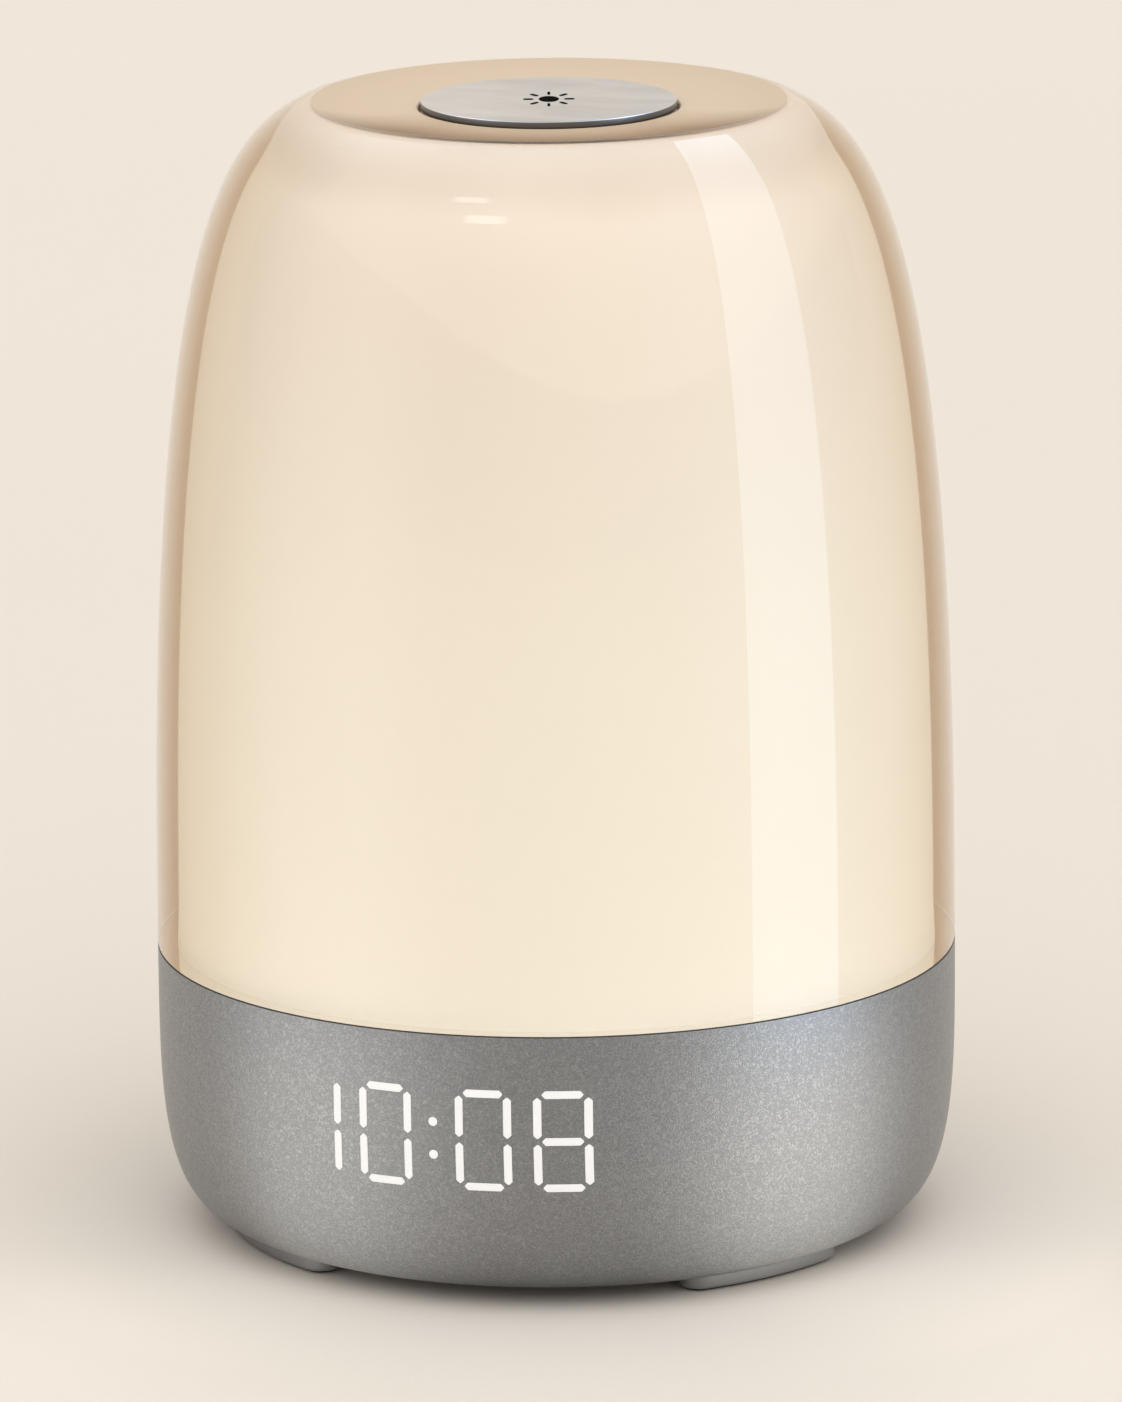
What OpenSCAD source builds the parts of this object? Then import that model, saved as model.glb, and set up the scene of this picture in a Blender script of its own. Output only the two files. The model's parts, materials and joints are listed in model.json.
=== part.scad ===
// Bedside alarm clock lamp: a tinted dome over an opal diffuser, on a grained round base
// with a seven-segment display. The display faces -Y and the feet stand on Z = 0.
// All lengths are in millimetres, all angles in degrees.

/* [Body] */
// Diameter of the body at the seam between base and dome
body_d = 120; // [118:1:130]
// Height of the seam above the table
seam_z = 43; // [42:1:50]
// Rise of the dome's curve above the seam
dome_rise = 129.4; // [110:1:150]
// Wall of the tinted outer dome
dome_wall = 3; // [2.4:0.1:3.2]
// Wall of the opal diffuser
diffuser_wall = 1.6; // [1.2:0.1:2]
// Wall of the base shell
shell_wall = 2.4; // [2:0.1:2.8]
// Width over which the base's lower edge rounds in
base_corner_w = 28.7; // [26:0.1:30]

/* [Top button] */
// Diameter of the steel disc
disc_d = 38; // [34:1:42]
// Thickness of the steel disc
disc_t = 1.3; // [1:0.1:1.6]
// Height of the disc's face above the dished top
disc_proud = 1; // [0.8:0.1:1.2]
// Travel of the top button
button_travel = 0.8; // [0.5:0.1:1]
// Radius at which the dish meets the shoulder
lip_r = 37; // [35:0.5:38]
// Depth of the dish below its lip
dish_depth = 0.9; // [0.6:0.1:1.2]
// Outer diameter of the centre column
column_d = 16; // [14:1:18]

/* [Display] */
// Distance between the outer segments of a digit
digit_w = 7.8; // [7:0.1:8.2]
// Distance between the top and bottom segments of a digit
digit_h = 14.3; // [12:0.1:15]
// Width of a segment
segment_t = 1.28; // [1:0.02:1.4]
// Distance from a pair's inner digit to the colon
colon_gap = 7.5; // [7:0.1:8]
// Distance between the two digits of a pair
digit_pitch = 11.4; // [11:0.1:11.8]
// Drop of the display's centre below the seam
display_drop = 16; // [15.5:0.1:17]

/* [Rear panel] */
// Width of the flat rear recess
panel_w = 38; // [37:0.5:39]
// Height of the rear recess
panel_h = 22; // [21:0.5:23]
// Depth of the recess below the body's widest circle
panel_recess = 3.2; // [3:0.1:3.4]
// Margin from the recess's side to the first key's share of the width
key_margin = 1; // [0.6:0.1:1.4]
// Space between neighbouring key caps
key_space = 2.6; // [2.2:0.1:3.2]
// Travel of a key
key_travel = 0.5; // [0.3:0.1:0.6]

/* [Feet and underside] */
// Height of the base's flat underside above the table
foot_h = 2; // [1.6:0.1:3]
// Angle that each foot covers
foot_arc = 52; // [30:1:60]
// Width of a foot
foot_w = 6.5; // [5:0.1:7]
// Turn of the ring of feet from the display's axis
foot_turn = 5.75; // [0:0.25:10]
// Gap between the loudspeaker's ring and the battery hatch
speaker_gap = 0.9; // [0.8:0.1:3]
// Diameter of the coin cell
cell_d = 20; // [18:0.5:20.5]
// Thickness of the coin cell
cell_t = 3.2; // [2.5:0.1:3.4]

/* [Hidden] */
$fn = 64;
// Overrun of a cutting shape past the face that it cuts
cut = 1;
// Gap between pieces that are assembled with play
play = 0.3;
// Gap between pieces that fit snugly
snug = 0.15;
// Gap at the stop that holds a button or key at rest
stop_gap = 0.1;
// Gap round a screw's thread
thread_gap = 0.05;
body_r = body_d / 2;

// Curves of the dome and of the base
dome_power_r = 6.6;
dome_power_z = 2.4;
base_power_r = 6.6;
base_power_z = 3.76;
dome_steps = 30;
base_steps = 26;
lip_steps = 8;
dish_steps = 8;
dome_top_z = seam_z + dome_rise;

// Height of a superellipse of half width r0 and rise h at radius r
function dome_height(r, r0, h) = h * pow(1 - pow(r / r0, dome_power_r), 1 / dome_power_z);
// Slope of the same curve at radius r, as an angle below the horizontal
function dome_slope(r, r0, h) = atan(h * dome_power_r / (dome_power_z * r0)
    * pow(1 - pow(r / r0, dome_power_r), 1 / dome_power_z - 1) * pow(r / r0, dome_power_r - 1));
// Points of the dome's curve, set in by an inset, from the seam up to radius r_end
function dome_curve(inset, r_end) = let (r0 = body_r - inset, h = dome_rise - inset,
    u_end = acos(pow(r_end / r0, dome_power_r / 2)))
    [for (i = [0:dome_steps]) let (u = u_end * i / dome_steps)
        [r0 * pow(cos(u), 2 / dome_power_r), seam_z + h * pow(sin(u), 2 / dome_power_z)]];
// Radius at which the dome's curve, set in by an inset, reaches height z
function dome_radius(inset, z) = (body_r - inset)
    * pow(1 - pow((z - seam_z) / (dome_rise - inset), dome_power_z), 1 / dome_power_r);
// Points of the base's curve, set in by an inset, from the seam down to the underside
function base_curve(inset) = [for (i = [0:base_steps]) let (u = 90 * i / base_steps)
    [body_r - inset - base_corner_w * (1 - pow(max(cos(u), 0), 2 / base_power_r)),
        seam_z - (seam_z - foot_h - inset) * pow(sin(u), 2 / base_power_z)]];

// Dished top of the dome: an arc over the lip, then a ramp down to the flat dish
lip_round = 5;
lip_out_slope = dome_slope(lip_r, body_r, dome_rise);
lip_in_slope = 14;
lip_edge_z = seam_z + dome_height(lip_r, body_r, dome_rise);
lip_top_z = lip_edge_z + lip_round * (1 - cos(lip_out_slope));
lip_center_r = lip_r - lip_round * sin(lip_out_slope);
ramp_r = lip_center_r - lip_round * sin(lip_in_slope);
ramp_z = lip_top_z - lip_round * (1 - cos(lip_in_slope));
ramp_w = 3 * dish_depth / tan(lip_in_slope);
dish_z = ramp_z - dish_depth;
ceiling_z = dish_z - dome_wall;
diffuser_top_z = ceiling_z - play;
diffuser_roof_z = diffuser_top_z - diffuser_wall;

// Top button, from the disc down
disc_r = disc_d / 2;
disc_top_z = dish_z + disc_proud;
disc_z = disc_top_z - disc_t;
disc_edge = 0.3;
disc_gap = 0.4;
recess_z = disc_z - button_travel - play;
carrier_inset = 3.8;
carrier_r = disc_r - carrier_inset;
carrier_plate_t = 1.4;
carrier_z = disc_z - carrier_plate_t;
skirt_wall = 1.5;
skirt_drop = 4.2;
skirt_z = ceiling_z - skirt_drop;
bore_r = carrier_r + play;
housing_wall = 1.5;
housing_r = bore_r + housing_wall;
housing_depth = 8;
housing_floor_t = 2;
housing_floor_z = ceiling_z - housing_depth;
column_top_z = housing_floor_z - housing_floor_t;
flange_w = 4;
flange_t = 1.6;
socket_wall = 1.85;
socket_h = 6.5;
lug_h = 1.2;
lug_out = 1.1;
lug_w = 5;
lug_count = 3;
lug_turn = 30;
switch_board_t = 1.2;
switch_size = 6;
switch_h = 3.5;
plunger_r = 1.7;
plunger_proud = 1;
plunger_inset = 1;
switch_z = housing_floor_z + switch_board_t;
plunger_top_z = switch_z + switch_h + plunger_proud;
stem_r = 3;
spring_wire_d = 0.8;
spring_gap = 0.9;
spring_r = carrier_r - skirt_wall - spring_gap - spring_wire_d / 2;
spring_turns = 5;
switch_board_gap = 1;
switch_board_r = spring_r - spring_wire_d / 2 - switch_board_gap;
spring_steps = 16;
spring_sides = 6;
spring_end_turns = 0.25;

// Centre column
column_r = column_d / 2;
column_wall = 2;
column_foot_w = 6;
column_foot_r = column_r + column_foot_w;
lead_r = 1.3;
lead_hole_r = 2.2;
column_screw_r = column_r + column_foot_w / 2;
column_screws_n = 3;
column_turn = 90;
small_screw_r = 1.2;
small_head_r = 2.3;
small_head_h = 1.4;
column_boss_r = 2.6;
column_boss_h = 4;

// Deck across the top of the base
flange_z = 2;
deck_top_z = seam_z - flange_z;
deck_t = 2.4;
deck_z = deck_top_z - deck_t;
deck_r = body_r - shell_wall - play;
flange_in_r = body_r - dome_wall - play - diffuser_wall;
upstand_r = flange_in_r - play;
upstand_wall = 1.8;
upstand_h = 5;
lead_way_r = 6;
ledge_w = 2.4;
ledge_t = 1.4;

// Light engine on the deck
led_board_t = 1.6;
led_board_in_r = column_foot_r + 2 * play;
led_board_gap = 3;
led_board_r = upstand_r - upstand_wall - led_board_gap;
led_top_z = deck_top_z + led_board_t;
reflector_t = 0.8;
led_ring_shares = [0.56, 0.84];
led_ring_n = [12, 24];
led_l = 3.5;
led_w = 2.8;
led_h = 0.7;
led_window_r = 2.8;
reflector_screw_share = 0.7;
reflector_screw_r = reflector_screw_share * led_board_r;
reflector_screws_n = 3;
reflector_turn = 30;
column_foot_t = led_board_t + reflector_t;

// Underside, cover and what it carries
cover_margin = 19;
cover_r = body_r - cover_margin;
cover_t = 2;
cover_top_z = foot_h + cover_t;
lip_w = 3;
lip_t = 2;
opening_r = cover_r - lip_w;
post_r = 4;
post_gap = 1;
post_ring_r = opening_r - post_r - post_gap;
posts_n = 4;
posts_turn = 45;
cover_boss_h = 2;
post_z = cover_top_z + cover_boss_h;
screw_r = 1.5;
screw_head_r = 2.8;
screw_head_h = 1.6;
screw_l = 11;
screw_sink = 2.2;
screw_drive_w = 0.8;
screw_drive_d = 0.7;
drive_share = 1.3;
edge_gap = 3.6;
gasket_t = 0.6;
gasket_w = 2;
speaker_flange_t = 1;
speaker_basket_h = 6;
magnet_h = 6;
speaker_wall = 1.25;
speaker_wall_h = 3.4;
speaker_rim_w = 0.8;
cone_t = 0.4;
cone_rise = 3;
grille_rings = 3;
cell_r = cell_d / 2;
cell_play = 0.6;
bay_r = cell_r + cell_play;
bay_wall = 1.8;
battery_y = opening_r - edge_gap - bay_r - bay_wall;
hatch_lap = 2.1;
hatch_r = cell_r + hatch_lap;
hatch_t = 1.6;
hatch_top_z = foot_h + hatch_t;
cell_top_z = hatch_top_z + cell_t;
contact_t = 0.4;
contact_bump_r = 1.5;
contact_bump_h = 0.6;
contact_w = 5;
contact_l = 14;
contact_arc = 36;
contact_gap = 0.1;
bay_roof_z = cell_top_z + contact_bump_h + contact_t;
bay_roof_t = 1.5;
ear_out = 1.4;
ear_y = battery_y - hatch_r - ear_out;
ear_r = 3.2;
hatch_notch_r = 4;
hatch_notch_d = 0.6;
hatch_screw_r = 1;
hatch_head_r = 1.9;
hatch_head_h = 0.9;
hatch_screw_l = 6;
ear_boss_r = 2.4;
ear_boss_h = 5;

// Loudspeaker: fills the space from the hatch's ear to the opening's edge
speaker_ring_r = (opening_r - edge_gap + ear_y - ear_r - speaker_gap) / 2;
speaker_y = speaker_ring_r + edge_gap - opening_r;
speaker_r = speaker_ring_r - speaker_wall - snug;
magnet_share = 0.58;
back_share = 0.78;
cap_share = 0.278;
grille_hole_share = 0.0556;
grille_pitch_share = 0.2444;
magnet_r = magnet_share * speaker_r;
speaker_back_r = back_share * speaker_r;
cap_r = cap_share * speaker_r;
grille_hole_r = grille_hole_share * speaker_r;
grille_pitch = grille_pitch_share * speaker_r;
speaker_z = cover_top_z + gasket_t;
speaker_back_z = speaker_z + speaker_flange_t + speaker_basket_h;
speaker_lead_r = 0.7;
speaker_lead_x = (magnet_r + speaker_back_r) / 2;

// Feet
foot_inset = 8.5;
foot_out_r = body_r - foot_inset;
foot_mid_r = foot_out_r - foot_w / 2;
foot_pocket = 1.2;
foot_round = 1.2;
foot_clear = 0.3;
foot_step_angle = 120;
foot_end_angle = atan(foot_w / 2 / foot_mid_r);
sole_inset = 0.9;
sole_w = foot_w - 2 * sole_inset;
sole_t = 1;
// Angles of the feet's centres from +X: right, rear and left of the display
foot_angles = [for (i = [0:2]) 90 + foot_turn + (i - 1) * foot_step_angle];

// Main board under the deck
board_t = 1.6;
board_drop = 11;
board_top_z = deck_z - board_drop;
board_z = board_top_z - board_t;
board_margin = 16;
board_r = body_r - board_margin;
board_front_margin = 19;
board_front_y = -(body_r - board_front_margin);
board_rear_margin = 17;
board_rear_y = body_r - board_rear_margin;
board_boss_r = 3;
board_boss_inset = 6;
board_boss_turn = 20;
board_screw_l = 6;
board_boss_ring = board_r - board_boss_inset;
connector_h = 5;
connector_top_z = board_top_z + connector_h;

// Display behind the front wall
display_z = seam_z - display_drop;
window_skin = 1;
film_gap = 0.05;
film_t = 0.4;
mask_gap = 0.1;
inlay_t = 0.25;
digit_x = [-colon_gap - digit_pitch, -colon_gap, colon_gap, colon_gap + digit_pitch];
segment_h_gap = 1.75;
segment_h_l = digit_w - segment_h_gap;
segment_v_gap = 1.05;
segment_v_l = digit_h / 2 - segment_v_gap;
dot_d = 1.35;
dot_pitch = 5;
mask_side = 1.8;
mask_w = 2 * (colon_gap + digit_pitch) + digit_w + segment_t + 2 * mask_side;
mask_h = digit_h + segment_t + 2 * mask_side;
mask_reach = 14;
mask_back_y = body_r - mask_reach;
display_board_t = 1.6;
display_board_inset = 0.8;
chip_l = 1.6;
chip_w = 0.8;
chip_h = 0.6;
ribbon_t = 0.3;
ribbon_w = 12;
ribbon_bend = 2;
ribbon_reach = 4;
ribbon_steps = 8;

// Rear panel, its keys and its inlet
panel_drop = 20;
panel_z = seam_z - panel_drop;
panel_y = body_r - panel_recess;
panel_t = 1.8;
panel_back_y = panel_y - panel_t;
panel_corner = 3;
panel_rim = 1.2;
panel_flange = 2.2;
panel_depth = 5.6;
rim_sink = 0.3;
panel_side_wall = 1;
panel_edge_wall = 0.5;
panel_hollow_w = panel_w - 2 * panel_side_wall;
panel_hollow_h = panel_h - 2 * panel_edge_wall;
key_rise = 5;
key_proud = 1.2;
key_round = 0.5;
key_collar_w = 0.8;
key_pitch = (panel_w - 2 * key_margin) / 4;
key_d = key_pitch - key_space;
key_collar_r = key_d / 2 + key_collar_w;
key_collar_t = 0.9;
key_gap = 0.2;
key_shares = [-1.5, -0.5, 0.5, 1.5];
key_x = [for (share = key_shares) share * key_pitch];
key_stem_r = 1.6;
key_stem_l = 1.4;
key_z = panel_z + key_rise;
key_back_y = panel_back_y - stop_gap;
key_stem_y = key_back_y - key_collar_t - key_stem_l;
key_plunger_proud = 0.8;
key_switch_h = 3.5;
key_cap_l = panel_y + key_proud - key_back_y;
rear_board_t = 1.6;
rear_board_y = key_stem_y - key_plunger_proud - key_switch_h;
key_plunger_inset = 0.8;
key_plunger_y = rear_board_y + key_switch_h - key_plunger_inset;
key_bore_y = key_plunger_y - key_travel - play;
rear_board_gap = 0.5;
rear_board_w = panel_hollow_w - 2 * rear_board_gap;
rear_board_h = panel_hollow_h - 2 * rear_board_gap;
rear_boss_r = 2.6;
rear_boss_inset = 6;
rear_boss_x = panel_w / 2 - rear_boss_inset;
rear_screw_l = 4.5;
rear_low = 5;
rear_low_z = panel_z - rear_low;
usb_w = 9;
usb_h = 3.3;
usb_wall = 0.35;
usb_flush = 0.4;
usb_l = panel_y - usb_flush - rear_board_y;
usb_tongue_h = 0.7;
usb_tongue_w = 6.7;
usb_back = 3;
rear_ribbon_w = 10;

// Shared shapes

module ring(r_out, r_in, h) {
    difference() {
        cylinder(h = h, r = r_out);
        translate([0, 0, -cut]) cylinder(h = h + 2 * cut, r = r_in);
    }
}

module block(w, d, h) {
    translate([-w / 2, -d / 2, 0]) cube([w, d, h]);
}

module rounded_plate(w, h, r) {
    square([w - 2 * r, h], center = true);
    square([w, h - 2 * r], center = true);
    for (x = [-1, 1], y = [-1, 1])
        translate([x * (w / 2 - r), y * (h / 2 - r)]) circle(r = r);
}

module slot_plate(w, h) {
    square([w - h, h], center = true);
    for (s = [-1, 1]) translate([s * (w - h) / 2, 0]) circle(r = h / 2);
}

// Stands a flat shape up in the XZ plane and gives it depth towards +Y
module upright(depth) {
    rotate([90, 0, 0]) translate([0, 0, -depth]) linear_extrude(height = depth) children();
}

module around(count, radius, first = 0) {
    for (i = [0:count - 1])
        rotate([0, 0, first + i * 360 / count]) translate([radius, 0, 0]) children();
}

// A screw standing on its tip, with its head's underside at z = 0 and its tip below
module screw(r, length, head_r, head_h) {
    difference() {
        union() {
            translate([0, 0, -length]) cylinder(h = length, r = r);
            cylinder(h = head_h, r = head_r);
        }
        for (a = [0, 90])
            rotate([0, 0, a]) translate([0, 0, head_h - screw_drive_d])
                block(head_r * drive_share, screw_drive_w, screw_drive_d + cut);
    }
}

// The base's whole form, solid, set in by an inset
module base_form(inset) {
    rotate_extrude() polygon(concat([[0, seam_z]], base_curve(inset),
        [[0, foot_h + inset]]));
}

// Dome and diffuser

lip_points = [for (i = [0:lip_steps])
    let (a = lip_out_slope - (lip_out_slope + lip_in_slope) * i / lip_steps)
    [lip_center_r + lip_round * sin(a), lip_top_z - lip_round * (1 - cos(a))]];
dish_points = [for (i = [1:dish_steps]) let (t = 1 - i / dish_steps)
    [ramp_r - ramp_w * (1 - t), dish_z + dish_depth * pow(t, 3)]];

module outer_dome() {
    inner_r = dome_radius(dome_wall, ceiling_z);
    inner = dome_curve(dome_wall, inner_r);
    color([0.93, 0.84, 0.70, 0.45]) rotate_extrude() polygon(concat(
        dome_curve(0, lip_r), lip_points, dish_points,
        [[disc_r + disc_gap, dish_z], [disc_r + disc_gap, recess_z],
            [bore_r, recess_z], [bore_r, ceiling_z]],
        [for (i = [dome_steps:-1:0]) inner[i]],
        [[flange_in_r, seam_z], [flange_in_r, deck_top_z],
            [deck_r, deck_top_z], [deck_r, seam_z]]));
}

module inner_diffuser() {
    outset = dome_wall + play;
    inset = outset + diffuser_wall;
    outer = dome_curve(outset, dome_radius(outset, diffuser_top_z));
    inner = dome_curve(inset, dome_radius(inset, diffuser_roof_z));
    hole_r = housing_r + play;
    color([0.98, 0.92, 0.80]) rotate_extrude() polygon(concat(
        outer, [[hole_r, diffuser_top_z], [hole_r, diffuser_roof_z]],
        [for (i = [dome_steps:-1:0]) inner[i]]));
}

// Base shell

// Arc with round ends, at the feet's mean radius, grown by an amount
module foot_plan(grow) {
    rotate([0, 0, -foot_arc / 2 + foot_end_angle])
        rotate_extrude(angle = foot_arc - 2 * foot_end_angle)
            translate([foot_mid_r - foot_w / 2 - grow, 0]) children(0);
    for (s = [-1, 1])
        rotate([0, 0, s * (foot_arc / 2 - foot_end_angle)]) translate([foot_mid_r, 0, 0])
            rotate_extrude() intersection() {
                translate([-foot_w / 2 - grow, 0]) children(0);
                translate([0, -cut]) square([foot_w, foot_w]);
            }
}

module foot_pockets() {
    for (a = foot_angles)
        rotate([0, 0, a]) translate([0, 0, foot_h - cut])
            foot_plan(snug) square([foot_w + 2 * snug, cut + foot_pocket]);
}

module panel_window(grow, depth) {
    translate([0, mask_back_y, panel_z])
        upright(depth) rounded_plate(panel_w + 2 * grow, panel_h + 2 * grow, panel_corner);
}

module display_box(grow, depth) {
    translate([-mask_w / 2 - grow, -mask_back_y - depth, display_z - mask_h / 2 - grow])
        cube([mask_w + 2 * grow, depth, mask_h + 2 * grow]);
}

// Space in the deck's ledge for the rear panel's flange
module ledge_notch() {
    intersection() {
        translate([0, 0, deck_z - ledge_t - cut])
            cylinder(h = ledge_t + 2 * cut, r = body_r - shell_wall - thread_gap);
        panel_window(panel_flange + play, body_r);
    }
}

module base_shell() {
    inner = base_curve(shell_wall);
    color([0.56, 0.56, 0.57]) difference() {
        union() {
            difference() {
                rotate_extrude() polygon(concat(base_curve(0),
                    [for (i = [base_steps:-1:0]) inner[i]]));
                translate([0, 0, foot_h - cut])
                    cylinder(h = shell_wall + 2 * cut, r = cover_r + snug);
            }
            translate([0, 0, cover_top_z]) ring(cover_r + lip_w, opening_r, lip_t);
            translate([0, 0, deck_z - ledge_t])
                ring(body_r - shell_wall / 2, body_r - shell_wall - ledge_w, ledge_t);
        }
        foot_pockets();
        panel_window(0, body_r);
        ledge_notch();
        intersection() {
            base_form(window_skin);
            display_box(play, body_r - mask_back_y);
        }
        difference() {
            lit_prisms();
            base_form(inlay_t);
        }
    }
}

// Display

// Places of a digit's segments, as shares of half its width and height, then 1 if upright
segment_shares = [[0, 1, 0], [1, 0.5, 1], [1, -0.5, 1], [0, -1, 0],
    [-1, -0.5, 1], [-1, 0.5, 1], [0, 0, 0]];
shown_segments = [[1, 2], [0, 1, 2, 3, 4, 5], [0, 1, 2, 3, 4, 5], [0, 1, 2, 3, 4, 5, 6]];
all_segments = [0, 1, 2, 3, 4, 5, 6];

module segment_face(length) {
    l = length / 2;
    t = segment_t / 2;
    polygon([[-l, 0], [t - l, t], [l - t, t], [l, 0], [l - t, -t], [t - l, -t]]);
}

module digit_faces(segments) {
    for (s = segments)
        translate([segment_shares[s][0] * digit_w / 2, segment_shares[s][1] * digit_h / 2])
            if (segment_shares[s][2] == 1) rotate(90) segment_face(segment_v_l);
            else segment_face(segment_h_l);
}

module dot_faces() {
    for (s = [-1, 1]) translate([0, s * dot_pitch / 2]) circle(d = dot_d);
}

// A flat shape in front of the display, given depth from the mask's back to past the wall
module through_front() {
    translate([0, -body_r - cut, display_z]) upright(body_r + cut - mask_back_y) children();
}

module lit_prisms() {
    for (i = [0:3]) through_front() translate([digit_x[i], 0]) digit_faces(shown_segments[i]);
    through_front() dot_faces();
}

// The lit figures: thin inlays flush in the shell's face
module inlay() {
    color("white") intersection() {
        difference() {
            base_form(0);
            base_form(inlay_t);
        }
        through_front() children();
    }
}

module hour_tens() { inlay() translate([digit_x[0], 0]) digit_faces(shown_segments[0]); }
module hour_units() { inlay() translate([digit_x[1], 0]) digit_faces(shown_segments[1]); }
module minute_tens() { inlay() translate([digit_x[2], 0]) digit_faces(shown_segments[2]); }
module minute_units() { inlay() translate([digit_x[3], 0]) digit_faces(shown_segments[3]); }
module colon_dots() { inlay() dot_faces(); }

module display_film() {
    inset = window_skin + film_gap;
    color([0.9, 0.9, 0.92]) intersection() {
        difference() {
            base_form(inset);
            base_form(inset + film_t);
        }
        display_box(0, body_r - mask_back_y);
    }
}

module display_mask() {
    color([0.08, 0.08, 0.09]) difference() {
        intersection() {
            base_form(window_skin + film_gap + film_t + mask_gap);
            display_box(0, body_r - mask_back_y);
        }
        for (x = digit_x) through_mask() translate([x, 0]) digit_faces(all_segments);
        through_mask() dot_faces();
    }
}

module through_mask() {
    translate([0, -body_r, display_z]) upright(body_r - mask_back_y + cut) children();
}

module display_board() {
    color([0.10, 0.30, 0.18]) translate([0, -mask_back_y, display_z]) upright(display_board_t)
        square([mask_w - 2 * display_board_inset, mask_h], center = true);
}

module display_chip() {
    translate([0, -mask_back_y - chip_h, display_z]) upright(chip_h) children();
}

module display_leds() {
    color([0.95, 0.93, 0.75]) {
        for (x = digit_x, s = segment_shares)
            display_chip() translate([x + s[0] * digit_w / 2, s[1] * digit_h / 2])
                if (s[2] == 1) square([chip_w, chip_l], center = true);
                else square([chip_l, chip_w], center = true);
        for (s = [-1, 1])
            display_chip() translate([0, s * dot_pitch / 2]) square(chip_w, center = true);
    }
}

// A flat cable's side view: straight down a board, round a bend, and out over another board
module ribbon_side(drop, reach) {
    turn = [for (i = [0:ribbon_steps]) 90 * i / ribbon_steps];
    r_in = ribbon_bend - ribbon_t;
    polygon(concat([[0, drop]],
        [for (a = turn) [ribbon_bend * (1 - cos(a)), ribbon_bend * (1 - sin(a))]],
        [[reach, 0], [reach, ribbon_t]],
        [for (i = [ribbon_steps:-1:0])
            [ribbon_bend - r_in * cos(turn[i]), ribbon_bend - r_in * sin(turn[i])]],
        [[ribbon_t, drop]]));
}

module display_ribbon() {
    y = -mask_back_y + display_board_t;
    color([0.85, 0.85, 0.80]) translate([ribbon_w / 2, y, board_top_z])
        rotate([90, 0, -90]) mirror([1, 0, 0])
            linear_extrude(height = ribbon_w)
                ribbon_side(ribbon_reach, board_front_y - y + ribbon_reach);
}

// Deck and light engine

module deck() {
    color([0.93, 0.93, 0.91]) difference() {
        union() {
            translate([0, 0, deck_z]) cylinder(h = deck_t, r = deck_r);
            translate([0, 0, deck_z])
                ring(upstand_r, upstand_r - upstand_wall, deck_t + upstand_h);
            around(posts_n, post_ring_r, posts_turn)
                translate([0, 0, post_z]) cylinder(h = deck_top_z - post_z, r = post_r);
            around(posts_n, board_boss_ring, board_boss_turn)
                translate([0, 0, board_top_z])
                    cylinder(h = deck_top_z - board_top_z, r = board_boss_r);
            around(column_screws_n, column_screw_r, column_turn)
                translate([0, 0, deck_z - column_boss_h])
                    cylinder(h = column_boss_h + deck_t, r = column_boss_r);
        }
        translate([0, 0, deck_z - cut]) cylinder(h = deck_t + 2 * cut, r = lead_way_r);
        around(posts_n, post_ring_r, posts_turn)
            translate([0, 0, post_z - cut]) cylinder(h = screw_l + cut, r = screw_r + thread_gap);
        around(posts_n, board_boss_ring, board_boss_turn) translate([0, 0, board_top_z - cut])
            cylinder(h = board_screw_l + cut, r = small_screw_r + thread_gap);
        around(column_screws_n, column_screw_r, column_turn)
            translate([0, 0, deck_z - column_boss_h - cut])
                cylinder(h = column_boss_h + deck_t + 2 * cut, r = small_screw_r + thread_gap);
        around(reflector_screws_n, reflector_screw_r, reflector_turn)
            translate([0, 0, deck_z - cut])
                cylinder(h = deck_t + 2 * cut, r = small_screw_r + thread_gap);
    }
}

module at_leds() {
    for (k = [0, 1]) around(led_ring_n[k], led_ring_shares[k] * led_board_r) children();
}

module led_board() {
    color([0.92, 0.92, 0.90]) difference() {
        translate([0, 0, deck_top_z]) ring(led_board_r, led_board_in_r, led_board_t);
        around(reflector_screws_n, reflector_screw_r, reflector_turn)
            translate([0, 0, deck_top_z - cut])
                cylinder(h = led_board_t + 2 * cut, r = small_screw_r + snug);
    }
}

module light_leds() {
    color([0.97, 0.85, 0.35]) at_leds() translate([0, 0, led_top_z]) block(led_w, led_l, led_h);
}

module reflector() {
    color("white") difference() {
        translate([0, 0, led_top_z])
            ring(upstand_r - upstand_wall - play, led_board_in_r, reflector_t);
        at_leds() translate([0, 0, led_top_z - cut])
            cylinder(h = reflector_t + 2 * cut, r = led_window_r);
        around(reflector_screws_n, reflector_screw_r, reflector_turn)
            translate([0, 0, led_top_z - cut])
                cylinder(h = reflector_t + 2 * cut, r = small_screw_r + snug);
    }
}

module reflector_screws() {
    color("silver") around(reflector_screws_n, reflector_screw_r, reflector_turn)
        translate([0, 0, led_top_z + reflector_t])
            screw(small_screw_r, deck_t + led_board_t, small_head_r, small_head_h);
}

// Centre column

module center_column() {
    color([0.95, 0.95, 0.93]) difference() {
        union() {
            translate([0, 0, deck_top_z]) cylinder(h = column_top_z - deck_top_z, r = column_r);
            translate([0, 0, deck_top_z]) cylinder(h = column_foot_t, r = column_foot_r);
        }
        translate([0, 0, deck_top_z - cut])
            cylinder(h = column_top_z - deck_top_z + 2 * cut, r = column_r - column_wall);
        around(column_screws_n, column_screw_r, column_turn) translate([0, 0, deck_top_z - cut])
            cylinder(h = column_foot_t + 2 * cut, r = small_screw_r + snug);
    }
}

module column_screws() {
    color("silver") around(column_screws_n, column_screw_r, column_turn)
        translate([0, 0, deck_top_z + column_foot_t])
            screw(small_screw_r, column_foot_t + deck_t + column_boss_h - cut,
                small_head_r, small_head_h);
}

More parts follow.
